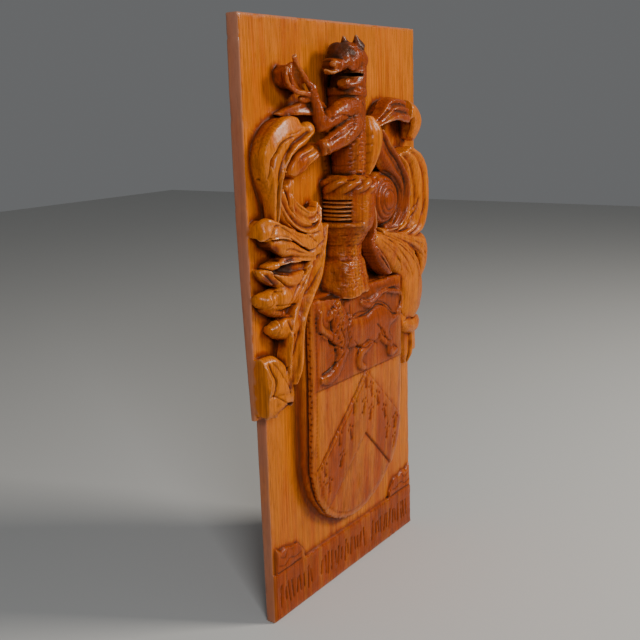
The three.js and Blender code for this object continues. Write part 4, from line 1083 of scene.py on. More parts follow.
# Creases: width, depth, then places across and rows in squares
CREASES = (
    # top lobe
    (2.6, 3.4, (-23.4, 71.6), (-23.2, 73.0), (-23.1, 74.6), (-21.7, 75.6), (-20.6, 76.8), (-19.3, 77.4),
     (-17.9, 77.6)),
    (2.6, 3.6, (-11.9, 78.6), (-12.1, 77.4), (-13.4, 76.6), (-14.9, 76.0), (-16.9, 75.5), (-17.8, 74.5),
     (-18.5, 73.4), (-18.8, 72.2), (-19.2, 70.6), (-19.8, 69.0)),
    (2.4, 2.2, (-17.3, 77.5), (-18.5, 76.3), (-19.8, 74.9), (-20.5, 73.5), (-21.0, 71.8), (-21.4, 69.4),
     (-21.6, 66.8)),
    (2.4, 2.0, (-23.7, 71.7), (-23.1, 70.2), (-22.5, 68.7), (-22.3, 67.6), (-22.0, 65.6)),
    (2.4, 1.6, (-15.4, 78.8), (-17.0, 78.2), (-18.6, 78.0), (-20.2, 77.8)),
    # swirl
    (2.6, 2.6, (-18.6, 70.6), (-18.3, 68.9), (-18.1, 67.3), (-16.6, 65.8), (-14.2, 64.6), (-11.0, 63.9)),
    (2.4, 2.2, (-17.8, 69.5), (-16.7, 68.1), (-15.3, 66.9), (-13.9, 66.1), (-12.2, 65.6)),
    (2.6, 2.6, (-19.5, 67.0), (-18.4, 65.2), (-16.1, 63.6), (-13.4, 62.7), (-10.4, 62.8)),
    (2.4, 2.2, (-11.0, 66.9), (-10.5, 65.7), (-10.4, 64.3), (-11.9, 63.4)),
    # first leaf
    (2.6, 2.8, (-24.2, 63.1), (-23.6, 63.9), (-23.0, 64.6), (-22.4, 65.0), (-21.2, 64.9)),
    (2.6, 3.0, (-24.8, 62.9), (-23.8, 63.3), (-21.8, 63.4), (-19.9, 63.0), (-17.8, 62.0), (-15.4, 60.7),
     (-13.3, 59.9)),
    (2.4, 2.4, (-21.2, 64.7), (-19.6, 63.9), (-17.8, 62.8), (-16.2, 61.5), (-14.6, 60.5)),
    (2.4, 2.0, (-18.2, 65.1), (-15.8, 63.4), (-13.4, 62.4), (-11.8, 61.1)),
    (2.6, 2.2, (-20.8, 61.0), (-19.1, 61.2), (-16.8, 60.4), (-14.6, 59.8)),
    # lip over the pocket, and the small leaf under it
    (2.4, 2.2, (-20.4, 59.2), (-18.7, 59.4), (-17.0, 59.1), (-13.9, 58.3)),
    (2.6, 2.6, (-23.7, 58.7), (-22.9, 58.4), (-21.3, 57.6), (-19.2, 57.2)),
    (2.6, 2.6, (-24.6, 58.3), (-23.9, 57.6), (-23.1, 56.7), (-21.6, 55.6)),
    # third and fourth leaf
    (2.6, 2.6, (-24.0, 52.8), (-23.4, 53.6), (-23.5, 54.5), (-22.6, 55.0), (-20.9, 55.0)),
    (2.4, 2.2, (-23.2, 53.2), (-21.4, 52.9), (-19.4, 52.7), (-17.6, 52.4)),
    (2.6, 2.6, (-21.8, 48.4), (-21.2, 49.4), (-20.7, 50.3), (-19.8, 50.6), (-18.6, 50.7)),
    (2.4, 2.2, (-19.6, 50.4), (-19.4, 49.1), (-19.0, 48.1), (-18.2, 47.4)),
    # stem
    (2.8, 2.6, (-11.1, 59.2), (-13.2, 58.0), (-16.0, 56.1), (-18.6, 53.9), (-20.4, 51.6), (-21.2, 49.6)),
    (2.6, 2.4, (-11.1, 57.4), (-12.7, 55.4), (-14.5, 53.9), (-17.0, 52.5), (-18.2, 50.4), (-19.2, 47.6)),
    (2.4, 1.8, (-14.1, 56.9), (-16.0, 55.0), (-18.1, 53.2), (-19.1, 51.1)),
    (2.8, 2.8, (-17.4, 48.3), (-18.0, 46.6), (-18.7, 44.6), (-20.2, 43.0), (-21.2, 41.8)),
    (2.2, 1.6, (-16.8, 49.5), (-17.2, 47.6), (-17.5, 45.2), (-17.8, 43.3), (-17.8, 41.4)),
    # block leaf: a bright ridge beside a deep crease
    (5.0, -3.0, (-25.1, 44.4), (-24.9, 43.2), (-24.5, 41.8), (-24.9, 40.4), (-25.1, 39.2)),
    (3.2, 3.4, (-24.2, 44.6), (-23.9, 43.0), (-23.4, 41.6), (-23.8, 40.0), (-24.2, 39.0)),
    (2.6, 2.2, (-23.5, 44.5), (-22.5, 43.3), (-21.7, 41.6), (-20.6, 39.8), (-19.7, 38.3)),
    (2.6, 2.6, (-25.2, 39.3), (-24.2, 39.5), (-22.8, 38.7), (-21.4, 37.7), (-20.0, 37.4)),
    # right: strap and its hooked rim
    (2.6, 2.2, (7.4, 76.3), (9.4, 74.2), (11.6, 72.4), (13.5, 70.6), (15.1, 68.5), (15.5, 66.0),
     (15.0, 63.9), (13.8, 62.3), (12.1, 61.2)),
    (2.4, 2.0, (9.2, 70.9), (10.6, 70.4), (12.8, 69.2), (14.5, 67.5), (15.1, 65.5), (14.4, 63.4),
     (12.5, 61.4), (10.5, 61.1)),
    # right: outer fan
    (2.6, 2.0, (10.7, 60.7), (13.5, 60.7), (16.7, 61.1), (19.0, 62.3), (19.9, 63.6), (20.4, 65.6)),
    (2.6, 2.0, (8.7, 60.3), (13.2, 59.7), (17.3, 59.9), (20.0, 60.9), (22.0, 62.5), (22.8, 64.8)),
    (2.2, 1.6, (15.4, 62.7), (17.8, 62.9), (19.7, 63.8), (20.5, 65.2)),
    (2.4, 1.6, (18.0, 71.3), (19.0, 69.5), (18.6, 67.3), (18.2, 65.7)),
    (2.4, 1.6, (20.7, 71.5), (22.1, 69.2), (22.4, 66.7), (21.4, 64.6)),
    (2.2, -1.4, (16.4, 72.4), (17.6, 73.3), (19.6, 73.4), (21.6, 72.0)),
    # right: lower fan
    (2.4, 1.8, (6.6, 60.4), (9.6, 59.3), (13.9, 57.5), (17.5, 55.2), (19.2, 53.4)),
    (2.4, 1.8, (8.5, 60.1), (12.7, 58.7), (18.7, 56.3), (22.8, 53.6)),
    (2.2, 1.6, (12.3, 59.8), (16.6, 58.4), (20.6, 56.4), (23.4, 54.2)),
    (4.0, 5.0, (18.9, 55.1), (20.6, 54.0), (20.9, 52.6)),
    (2.4, 1.8, (6.6, 59.2), (9.7, 57.2), (12.6, 54.7), (13.6, 52.5)),
    (2.4, 2.0, (8.7, 59.2), (12.3, 56.8), (15.5, 53.8), (17.0, 51.4)),
    (2.4, 1.8, (12.1, 57.9), (16.5, 55.1), (19.2, 52.4), (20.2, 50.4)),
    (2.6, 2.2, (14.3, 43.1), (17.3, 43.4), (19.0, 42.9), (21.4, 44.2)),
    (2.6, 2.4, (4.6, 57.1), (7.1, 55.1), (9.6, 53.2)),
    # right: band and lobe
    (2.4, 1.8, (6.6, 79.1), (9.1, 80.6), (11.3, 80.7), (16.0, 80.1)),
    (2.4, 1.8, (7.0, 79.8), (8.7, 81.1), (10.1, 81.7), (13.9, 81.8), (16.4, 81.4)),
    (2.6, 2.0, (17.8, 81.1), (18.5, 79.0), (18.8, 76.9)),
)


def carve_mantling(block, undercut):
    """The leaves, folds and straps on both sides, and the bowl behind the brim."""
    thickness = block.thickness
    block.add(boss(9.2, 65.8, 0.6, 5.5, 4.9, 3.6, thickness, 3.0, 8.5), BAND, 2.0)
    for section, kind, under, rungs, veins in LEFT_MANTLING + RIGHT_MANTLING:
        block.add(leaf(section, rungs, thickness, under * undercut / 5.0, veins), kind, 1.0)
    for place in CURLS:
        block.add(boss(*place, thickness), MANTLING, 0.5)
    # The third leaf's underside, painted with the beast's darker staining as shade
    block.add(limb(LEAF_UNDERSIDE, thickness), BEAST, 0.6)
    for place in TURNED_UNDER:
        block.paint(*place, MANTLING, SHADE)
    # Painted shade on the ground in the hollow under the band: a ring with the chief's darker staining, and
    # a core painted in shade
    block.paint(17.6, 77.5, 0, 2.9, GROUND, CHIEF)
    block.paint(18.2, 78.1, 0, 1.9, CHIEF, SHADE)
    for stations in HOLLOWS:
        block.cut(limb(stations, thickness), SHADE)
    block.lines(CREASES, SQUARE)


# Nodes

def node(tree, kind, place, **settings):
    """A new node, with its inputs or properties set by name."""
    made = tree.nodes.new(kind)
    made.location = place
    for name, value in settings.items():
        if name in made.inputs:
            feed(tree, value, made.inputs[name])
        else:
            setattr(made, name, value)
    return made


def feed(tree, value, socket):
    """Gives a socket a plain value, or links it to the socket that makes the value."""
    if isinstance(value, bpy.types.NodeSocket):
        tree.links.new(value, socket)
    else:
        socket.default_value = value


def group_with(kind, name, inputs, outputs):
    """A node group with named sockets, its inlet and its outlet."""
    tree = bpy.data.node_groups.new(name, kind)
    for way, sockets in (("INPUT", inputs), ("OUTPUT", outputs)):
        for label, sort in sockets:
            tree.interface.new_socket(label, in_out=way, socket_type="NodeSocket" + sort)
    return tree, node(tree, "NodeGroupInput", (-1400, 0)), node(tree, "NodeGroupOutput", (900, 0))


def math_node(tree, operation, a, b, place, clamp=False):
    """A maths node fed by numbers or by sockets."""
    made = node(tree, "ShaderNodeMath", place, operation=operation, use_clamp=clamp)
    feed(tree, a, made.inputs[0])
    feed(tree, b, made.inputs[1])
    return made.outputs[0]


# Repeated marks

# Strokes in each word of the motto, and where in the band they stand
MOTTO_WORDS = (9, 14, 13)
MOTTO_START = -210.0
MOTTO_MIDDLE = 43
ERMINE_SPOTS = (
    (-30, 306), (10, 342), (52, 300), (-34, 262), (-68, 222), (-112, 220), (-98, 186), (84, 226), (78, 268),
    (0, 298), (-72, 262), (112, 238), (112, 200), (30, 322), (-122, 186), (24, 280), (124, 176),
)
# Parts of an ermine spot: place across and up, lean, radius and length, as shares of its size
SPOT_PARTS = (
    (0.0, 0.0, 0.0, 0.13, 0.8), (-0.1, 0.0, 0.45, 0.1, 0.6), (0.1, 0.0, -0.45, 0.1, 0.6),
    (-0.28, 0.72, 0.3, 0.09, 0.22), (0.0, 0.92, 0.0, 0.09, 0.24), (0.28, 0.72, -0.3, 0.09, 0.22),
)
# Distance of the rim's tick marks from the shield's axis
RIM_TICKS = 132


def random_value(tree, inlet, low, high, shift, place):
    """A random number for each point, from the tree's seed and a shift of its own."""
    made = node(tree, "FunctionNodeRandomValue", place, data_type="FLOAT")
    feed(tree, low, made.inputs[2])
    feed(tree, high, made.inputs[3])
    seed = math_node(tree, "ADD", inlet.outputs["Seed"], shift, (place[0] - 200, place[1]))
    feed(tree, seed, made.inputs["Seed"])
    return made.outputs[1]


def random_lean(tree, inlet):
    """A random turn to either side, as far as the tree's lean."""
    back = math_node(tree, "MULTIPLY", inlet.outputs["Lean"], -1.0, (-600, -200))
    return random_value(tree, inlet, back, inlet.outputs["Lean"], 0, (-200, -200))


def finish_marks(tree, inlet, outlet, figure, turn, size):
    """Sets the figure on every point, turned and scaled, as one plain mesh with its material."""
    spin = node(tree, "ShaderNodeCombineXYZ", (200, -200), Y=turn)
    rotation = node(tree, "FunctionNodeEulerToRotation", (300, -200))
    feed(tree, spin.outputs[0], rotation.inputs[0])
    spread = node(tree, "GeometryNodeInstanceOnPoints", (450, 0), Points=inlet.outputs["Points"],
                  Instance=figure, Rotation=rotation.outputs[0], Scale=size)
    real = node(tree, "GeometryNodeRealizeInstances", (600, 0), Geometry=spread.outputs[0])
    coat = node(tree, "GeometryNodeSetMaterial", (750, 0), Geometry=real.outputs[0],
                Material=inlet.outputs["Material"])
    feed(tree, coat.outputs[0], outlet.inputs[0])
    return tree


def stroke_tree():
    """Short strokes with a V-shaped section, one on every point, leaning and growing at random."""
    tree, inlet, outlet = group_with("GeometryNodeTree", "strokes", (
        ("Points", "Geometry"), ("Length", "Float"), ("Width", "Float"), ("Turn", "Float"),
        ("Lean", "Float"), ("Shortest", "Float"), ("Seed", "Int"), ("Material", "Material")),
        (("Marks", "Geometry"),))
    radius = math_node(tree, "MULTIPLY", inlet.outputs["Width"], 0.5, (-400, 200))
    bar = node(tree, "GeometryNodeMeshCylinder", (-200, 200), Vertices=4, Radius=radius,
               Depth=inlet.outputs["Length"])
    turn = math_node(tree, "ADD", inlet.outputs["Turn"], random_lean(tree, inlet), (0, -200))
    grow = random_value(tree, inlet, inlet.outputs["Shortest"], 1.0, 5, (-200, -400))
    size = node(tree, "ShaderNodeCombineXYZ", (0, -400), X=1.0, Y=1.0, Z=grow)
    return finish_marks(tree, inlet, outlet, bar.outputs[0], turn, size.outputs[0])


def spot_tree():
    """Ermine spots, one on every point: a tail with three tips below three small dots."""
    tree, inlet, outlet = group_with("GeometryNodeTree", "ermine_spots", (
        ("Points", "Geometry"), ("Size", "Float"), ("Lean", "Float"), ("Seed", "Int"),
        ("Material", "Material")), (("Marks", "Geometry"),))
    join = node(tree, "GeometryNodeJoinGeometry", (0, 200))
    for k, (across, up, lean, radius, length) in enumerate(SPOT_PARTS):
        cone = node(tree, "GeometryNodeMeshCone", (-500, 600 - 150 * k), Vertices=4, Depth=length)
        feed(tree, radius * 0.3, cone.inputs["Radius Top"])
        feed(tree, radius, cone.inputs["Radius Bottom"])
        move = node(tree, "GeometryNodeTransform", (-300, 600 - 150 * k), Geometry=cone.outputs["Mesh"],
                    Translation=(across, 0.0, up), Rotation=(0.0, lean, 0.0))
        tree.links.new(move.outputs[0], join.inputs[0])
    return finish_marks(tree, inlet, outlet, join.outputs[0], random_lean(tree, inlet),
                        inlet.outputs["Size"])


def marks_from(points, tree, values):
    """What a tree makes of a few points seen from the front, as points in millimetres and triangles."""
    mesh = bpy.data.meshes.new("marks")
    mesh.from_pydata([(x / MM, 0.0, z / MM) for x, z in points], [], [])
    holder = stand("marks", mesh)
    modifier = holder.modifiers.new("marks", "NODES")
    modifier.node_group = tree
    for item in tree.interface.items_tree:
        if item.name in values:
            modifier[item.identifier] = values[item.name]
    made = plain_copy(holder)
    bpy.data.meshes.remove(mesh)
    return points_of(made) * MM, triangles_of(made)


def engrave(block, marks, depth):
    """Cuts marks into whatever face lies below them; depth is the share of their own thickness."""
    low, box = distances(marks[0], np.zeros((0, 4)), marks[1])
    mine, theirs = block.window(low, box)
    deep = np.clip(0.4 - box.min(axis=1), 0, None)[theirs[0], theirs[2]]
    part = (mine[0], mine[2])
    block.cuts[part] = np.maximum(block.cuts[part], depth * deep)


def engrave_marks(block, detail, finish):
    """Motto strokes, ermine spots on the chevron, ticks along the rim and locks of the beasts' hair."""
    shared = {"Seed": detail.seed, "Material": finish}
    strokes = stroke_tree()
    fur = [(-44 + 13 * col + 6 * (row % 2), 702 + 7.5 * row) for row in range(11) for col in range(6)]
    neck = [(-58 + 9 * col + 4 * (row % 2), 530 + 6 * row) for row in range(15) for col in range(12)]
    mane = [(-92 + 11 * col + 5 * (row % 2), 432 + 10 * row) for row in range(8) for col in range(5)
            if abs(col - 2 + 0.3 * (row - 4)) < 2.6]
    for places, tree, depth, values in (
            (motto_places(), strokes, 1.4,
             {"Length": 0.044, "Width": 0.0038, "Turn": 0.0, "Lean": 0.16, "Shortest": 0.5}),
            (ERMINE_SPOTS, spot_tree(), 1.5, {"Size": 0.027, "Lean": 0.3}),
            (rim_places(), strokes, 1.5,
             {"Length": 0.0055, "Width": 0.0036, "Turn": 1.2, "Lean": 0.6, "Shortest": 0.7}),
            (fur, strokes, 1.2,
             {"Length": 0.015, "Width": 0.0032, "Turn": 1.35, "Lean": 0.4, "Shortest": 0.5}),
            (neck, strokes, 1.0,
             {"Length": 0.008, "Width": 0.003, "Turn": 1.45, "Lean": 0.3, "Shortest": 0.5}),
            (mane, strokes, 1.2,
             {"Length": 0.0095, "Width": 0.0036, "Turn": 0.5, "Lean": 0.7, "Shortest": 0.7})):
        engrave(block, marks_from(places, tree, {**values, **shared}), depth)


def motto_places():
    """Where the strokes of the motto stand, word after word."""
    places = []
    pitch = -2 * MOTTO_START / (sum(MOTTO_WORDS) + 2 * (len(MOTTO_WORDS) - 1))
    x = MOTTO_START
    for count in MOTTO_WORDS:
        for k in range(count):
            places.append((x + (1.4 if k % 3 == 1 else -1.0), MOTTO_MIDDLE))
            x += pitch
        x += 2 * pitch
    return places


def rim_places():
    """Where the ticks stand on the shield's visible rim."""
    straight = [(LOWER_SHIFT - 1 - RIM_TICKS, z) for z in range(262, 512, 7)]
    return straight + [(LOWER_SHIFT - RIM_TICKS * math.cos(a), 253 - RIM_TICKS * math.sin(a))
                       for a in np.linspace(0.05, 1.4, 25)]


# Cut lines: width, depth, then points in millimetres
CUT_LINES = (
    # fan of folds on the lower paw, hollows between the muscles of the arms
    (2.6, 2.2, (-128, 760), (-143, 753), (-164, 746), (-176, 735)),
    (2.6, 2.2, (-126, 753), (-140, 743), (-157, 732), (-166, 722)),
    (2.6, 2.0, (-124, 747), (-134, 737), (-146, 727), (-154, 719)),
    (2.6, 1.8, (-129, 765), (-140, 761), (-160, 754)),
    (3.0, 1.6, (-122, 757), (-118, 749), (-112, 744)),
    (4.0, 2.0, (-105, 798), (-89, 803), (-79, 805), (-65, 803), (-50, 800)),
    (5.0, 1.6, (-100, 800), (-96, 812), (-84, 818), (-69, 822)),
    (3.4, 1.6, (-119, 766), (-99, 772), (-82, 777), (-66, 782)),
    (4.4, 2.0, (-78, 764), (-70, 775), (-54, 787), (-41, 808)),
    # chief's beast again: back, tail, hind leg, claws
    (2.6, 2.4, (-34, 475), (-12, 480), (15, 477), (30, 487), (57, 486), (80, 477), (102, 460)),
    (2.6, 2.2, (-4, 501), (8, 493), (30, 494), (48, 501)),
    (2.6, 2.2, (72, 503), (103, 503), (119, 497), (130, 480), (126, 466)),
    (2.8, 2.4, (40, 451), (55, 439), (62, 425), (77, 417)),
    (2.6, 2.0, (-3, 422), (18, 426), (52, 412)),
    (2.6, 2.2, (82, 397), (104, 399), (121, 386)),
    (2.6, 2.0, (-34, 438), (-12, 418), (-18, 406)),
    (2.8, 2.4, (-91, 509), (-92, 493), (-94, 477), (-94, 458), (-97, 441)),
    (2.8, 2.4, (-61, 510), (-59, 490), (-74, 470), (-64, 444), (-77, 427)),
    (2.8, 2.2, (-36, 500), (-37, 479), (-52, 459), (-44, 433)),
    # upper edge of the motto band across the ribbons, and the folds of the ribbons
    (3.2, 2.6, (-221, 85), (-150, 85)),
    (3.2, 2.6, (130, 85), (219, 85)),
    (2.6, 1.8, (-216, 98), (-200, 93), (-186, 100), (-168, 95), (-150, 97)),
    (2.6, 1.8, (-212, 112), (-198, 106), (-190, 117), (-176, 112), (-160, 118)),
    (2.6, 1.8, (212, 98), (196, 94), (180, 101), (160, 95), (148, 98)),
    (2.6, 1.8, (208, 114), (194, 107), (182, 117), (166, 112)),
    # outline of the chief's beast: back, tail, belly, legs, jaws
    (3.2, 2.2, (-50, 475), (10, 472), (55, 482), (100, 457), (135, 450)),
    (3.5, 2.2, (-25, 424), (5, 415), (28, 421)),
    (3.5, 2.4, (55, 441), (65, 430), (75, 415), (92, 409)),
    (4.0, 2.4, (-130, 470), (-105, 455), (-95, 445), (-62, 427)),
    (4.0, 2.4, (-62, 427), (-78, 412), (-100, 403), (-125, 398)),
    (2.6, 1.6, (5, 503), (30, 488), (85, 500), (120, 501), (137, 488), (135, 462)),
)


# Finishing the surface

# Longest edges left in the mesh after each round of splitting
LONGEST_EDGES = (40, 20, 14, 14)
# How thick a layer counts as the side face, and the place of a plane that cuts nothing
SKIN_DEEP = 1.3
NO_CUT = 9.0


def soften(skin):
    """Scrapes the surface: a light blur over the grid that takes off the sharpest arrises."""
    for axis in range(3):
        rows = np.moveaxis(skin, axis, 0)
        rows[1:-1] = (rows[:-2] + rows[2:]) * 0.25 + 0.5 * rows[1:-1]
    return skin


def box_mean(volume, reach):
    """Mean over a box that reaches as many cells to every side."""
    for axis in range(3):
        widths = [(reach + 1, reach) if a == axis else (0, 0) for a in range(3)]
        total = np.cumsum(np.pad(volume, widths, mode="edge"), axis=axis, dtype=np.float64)
        head = [slice(None)] * 3
        tail = [slice(None)] * 3
        head[axis] = slice(2 * reach + 1, None)
        tail[axis] = slice(None, -2 * reach - 1)
        volume = ((total[tuple(head)] - total[tuple(tail)]) / (2 * reach + 1)).astype(np.float32)
    return volume


def sample(volume, places):
    """Values of a grid at places between its points."""
    places = np.clip(places, 0, np.array(volume.shape) - 1.001)
    base = places.astype(int)
    part = places - base
    out = np.zeros(len(places), np.float32)
    for corner in range(8):
        step = np.array([corner & 1, corner >> 1 & 1, corner >> 2 & 1])
        weight = np.prod(np.where(step, part, 1 - part), axis=1)
        index = base + step
        out += weight * volume[index[:, 0], index[:, 1], index[:, 2]]
    return out


def finish_block(block, outline, sizes, detail):
    """Adds the cut lines, gouge marks and stipple and trims the wood to the board's outline and bevels."""
    face = -block.thickness
    y = block.depths()
    marks = value_noise(block.cuts.shape, (9, 13), detail.seed + 4)
    marks += 0.5 * value_noise(block.cuts.shape, (5, 7), detail.seed + 5)
    shallow = MM * detail.chatter * marks
    carved = y < face - 3
    near_face = y < face + 6
    top = y[(block.skin < 0).argmax(axis=1)]
    clear = (top < face - 12)[:, None, :] & (y[near_face] > face - 6)[None, :, None]
    block.skin[:, near_face, :] += np.where(clear, 0.0, block.cuts[:, None, :]).astype(np.float32)
    block.skin[:, carved, :] += shallow[:, None, :]
    rough = value_noise(block.cuts.shape, (5.5, 2.6), detail.seed + 6)
    rough += 0.8 * value_noise(block.cuts.shape, (3.4, 3.0), detail.seed + 7)
    strength = MM * detail.stipple * np.array(STIPPLE, np.float32)
    for j in np.flatnonzero(carved):
        block.skin[:, j, :] += rough * strength[block.kind[:, j, :]]
    block.skin = np.maximum(block.skin, np.clip(outline[:, None, :], -REACH, REACH))
    plane_back(block, outline, sizes)
    side = (np.abs(outline) < SKIN_DEEP)[:, None, :] & (y > face - 1)[None, :, None]
    block.kind[side] = EDGE
    block.kind[:, y > -1.5, :] = BACK
    block.skin = soften(block.skin)


def plane_back(block, outline, sizes):
    """Planes the back flat, and its left edge away towards the foot of each half."""
    x, z = block.plane()
    y = block.depths()
    upper = -HALF_MM * sizes.upper_width
    lower = LOWER_SHIFT - HALF_MM * sizes.lower_width
    shoulder = MM * sizes.shoulder
    for start, foot, top, foot_cut, top_cut in (
            (upper, shoulder, BEVEL_TOP, BEVEL_CUT, 0.1),
            (lower, 0.0, shoulder, BEVEL_CUT / 2, BEVEL_CUT / 4)):
        share = np.clip((z - foot) / (top - foot), 0, 1)
        cut = top_cut + (foot_cut - top_cut) * (1 - share) ** BEVEL_BEND
        inside = (z >= foot - (OVERLAP if foot == 0 else 0)) & (z < top)
        wedge = np.where(inside, -cut * (1 - (x - start) / BEVEL_WIDTH), NO_CUT)
        for j, depth in enumerate(y):
            block.skin[:, j, :] = np.maximum(block.skin[:, j, :], np.clip(depth - wedge, -REACH, REACH))
            block.kind[:, j, :][(depth > wedge - 2) & (outline < -SKIN_DEEP)] = BACK
    block.skin = np.maximum(block.skin, y[None, :, None])


def mesh_of(block, name):
    """The block's skin as a mesh, in millimetres and in the place of the carving functions."""
    grid = openvdb.FloatGrid(float(REACH))
    grid.copyFromArray(block.skin, tolerance=0.0)
    points, triangles, quads = grid.convertToPolygons(isovalue=0.0, adaptivity=0.12)
    faces = np.concatenate([triangles.ravel(), quads.ravel()]).astype(np.int32)
    sizes = np.concatenate([np.full(len(triangles), 3), np.full(len(quads), 4)]).astype(np.int32)
    return plain_mesh(name, points + block.low, faces, sizes)


def plain_mesh(name, points, faces, sizes):
    """A mesh of points and of faces, each with its own number of corners."""
    mesh = bpy.data.meshes.new(name)
    mesh.vertices.add(len(points))
    mesh.vertices.foreach_set("co", points.astype(np.float32).ravel())
    mesh.loops.add(len(faces))
    mesh.loops.foreach_set("vertex_index", faces)
    mesh.polygons.add(len(sizes))
    mesh.polygons.foreach_set("loop_start", np.concatenate([[0], np.cumsum(sizes)[:-1]]).astype(np.int32))
    mesh.update(calc_edges=True)
    mesh.validate()
    return mesh


def stand(name, data):
    """A new object in the scene that shows a mesh, a light or a camera."""
    made = bpy.data.objects.new(name, data)
    bpy.context.scene.collection.objects.link(made)
    return made


def plain_copy(holder):
    """A plain mesh of what an object's modifiers make. The object is removed."""
    graph = bpy.context.evaluated_depsgraph_get()
    made = bpy.data.meshes.new_from_object(holder.evaluated_get(graph))
    bpy.data.objects.remove(holder)
    return made


def points_of(mesh):
    """Places of all points of a mesh."""
    flat = np.empty(len(mesh.vertices) * 3, np.float32)
    mesh.vertices.foreach_get("co", flat)
    return flat.reshape(-1, 3)


def triangles_of(mesh):
    """Corners of all triangles of a mesh."""
    mesh.calc_loop_triangles()
    flat = np.empty(len(mesh.loop_triangles) * 3, np.int32)
    mesh.loop_triangles.foreach_get("vertices", flat)
    return flat.reshape(-1, 3)


def thin_out(mesh, most):
    """Takes faces away where the surface is flat, until few enough triangles are left."""
    holder = stand("thinning", mesh)
    mesh.calc_loop_triangles()
    triangles = len(mesh.loop_triangles)
    if triangles > most:
        decimate = holder.modifiers.new("thin", "DECIMATE")
        decimate.ratio = most / triangles
        decimate.use_collapse_triangulate = True
    return split_long_edges(plain_copy(holder))


def split_long_edges(mesh):
    """Splits the long edges on the flat faces, so that what is stored on the points follows the surface."""
    faces = triangles_of(mesh)
    points = points_of(mesh)
    for longest in LONGEST_EDGES:
        sides = np.sort(np.stack([faces, np.roll(faces, -1, axis=1)], -1), axis=-1).reshape(-1, 2)
        edges, place = np.unique(sides, axis=0, return_inverse=True)
        long = np.linalg.norm(points[edges[:, 0]] - points[edges[:, 1]], axis=1) > longest
        middle = np.full(len(edges), -1)
        middle[long] = len(points) + np.arange(long.sum())
        points = np.concatenate([points, points[edges[long]].mean(1)])
        halves = middle[place.reshape(-1, 3)]
        split = (halves >= 0).sum(1)
        made = [faces[split == 0]]
        for turn in range(3):
            a, b, c = (faces[:, (turn + k) % 3] for k in range(3))
            ab, bc, ca = (halves[:, (turn + k) % 3] for k in range(3))
            once = (split == 1) & (ab >= 0)
            twice = (split == 2) & (ca < 0)
            made += [np.stack(three, 1)[once] for three in ((a, ab, c), (ab, b, c))]
            made += [np.stack(three, 1)[twice] for three in ((ab, b, bc), (a, ab, bc), (a, bc, c))]
        a, b, c = faces[split == 3].T
        ab, bc, ca = halves[split == 3].T
        made += [np.stack(three, 1) for three in ((a, ab, ca), (ab, b, bc), (bc, c, ca), (ab, bc, ca))]
        faces = np.concatenate(made).astype(np.int32)
    return plain_mesh(mesh.name, points, faces.ravel(), np.full(len(faces), 3))


def spread_out(mesh, values, rounds):
    """Evens out values on a mesh's points, each with its neighbours along the edges."""
    count = len(mesh.vertices)
    flat = np.empty(len(mesh.edges) * 2, np.int32)
    mesh.edges.foreach_get("vertices", flat)
    first, second = flat.reshape(-1, 2).T
    degree = np.bincount(flat, minlength=count) + 1.0
    for _ in range(rounds):
        total = values.astype(np.float64)
        total += np.bincount(first, values[second], minlength=count)
        total += np.bincount(second, values[first], minlength=count)
        values[:] = total / degree
    return values


def add_masks(mesh, block):
    """Stores staining with its painted shade, stipple, hollows, creases with their dirt and painted shade,
    worn edges, raised parts and dust on the mesh's points for the finish to use.
    """
    places = points_of(mesh) - block.low
    shape = np.array(block.skin.shape) // 2 * 2
    wood = np.clip(0.5 - block.skin[:shape[0], :shape[1], :shape[2]], 0, 1)
    wood = wood.reshape(shape[0] // 2, 2, shape[1] // 2, 2, shape[2] // 2, 2).mean((1, 3, 5))
    near = sample(box_mean(wood, 1), (places - 0.5) / 2)
    wide = sample(box_mean(wood, 4), (places - 0.5) / 2)
    index = np.clip(np.round(places).astype(int), 0, np.array(block.kind.shape) - 1)
    kind = block.kind[index[:, 0], index[:, 1], index[:, 2]]
    masks = {
        # Staining of each kind, with the painted shade of the SHADE and DARK kinds
        "stain_and_shade": spread_out(mesh, np.array(STAIN_AND_SHADE, np.float32)[kind], 3),
        "stipple": spread_out(mesh, np.array(STIPPLE, np.float32)[kind], 3),
        # Deep hollows, where the staining gathers and painted shade is added
        "hollow": np.clip((wide - 0.5) * 5.0, 0, 1),
        "dusty": np.isin(kind, (EDGE, BACK)),
        # Concave creases, darkened with dirt and painted shade, and the parts painted dark or in shade
        "crease_dirt_and_shade": np.clip((near - 0.5) * 4.0 + 0.55 * (kind == DARK) + 0.5 * (kind == SHADE), 0, 1),
        "worn": np.clip((0.47 - near) * 5.0, 0, 1),
        "proud": np.clip((0.47 - wide) * 3.0, 0, 1),
    }
    for name, values in masks.items():
        attribute = mesh.attributes.new(name, "FLOAT", "POINT")
        attribute.data.foreach_set("value", values.astype(np.float32))


# Finish

PORE_COLOUR = (0.12, 0.035, 0.008, 1)
# Colour of the dirt and painted shade in the creases
DIRT_AND_SHADE_COLOUR = (0.028, 0.009, 0.004, 1)
RUBBED_COLOUR = (0.72, 0.36, 0.14, 1)
DUST_COLOUR = (0.46, 0.2, 0.12, 1)
# Height below which the wood is painted darker as shade towards the foot, and the relief of the grain and of
# the tool marks, in metres
FOOT_LEVEL = -0.15
STREAK_HEIGHT = 0.00012
PORE_DEPTH = 0.00025
FIGURE_HEIGHT = 0.0004
MARK_HEIGHT = 0.0014


def add_share(tree, base, value, share, place, operation="ADD", clamp=False):
    """Adds a share of a value to what there is, or takes it away."""
    part = math_node(tree, "MULTIPLY", value, share, (place[0] - 170, place[1] - 90))
    return math_node(tree, operation, base, part, place, clamp)


def mix_colours(tree, factor, first, second, place):
    """A colour mix fed by colours or by sockets."""
    made = node(tree, "ShaderNodeMix", place, data_type="RGBA")
    for socket, value in zip((made.inputs[0], made.inputs[6], made.inputs[7]), (factor, first, second)):
        feed(tree, value, socket)
    return made.outputs[2]


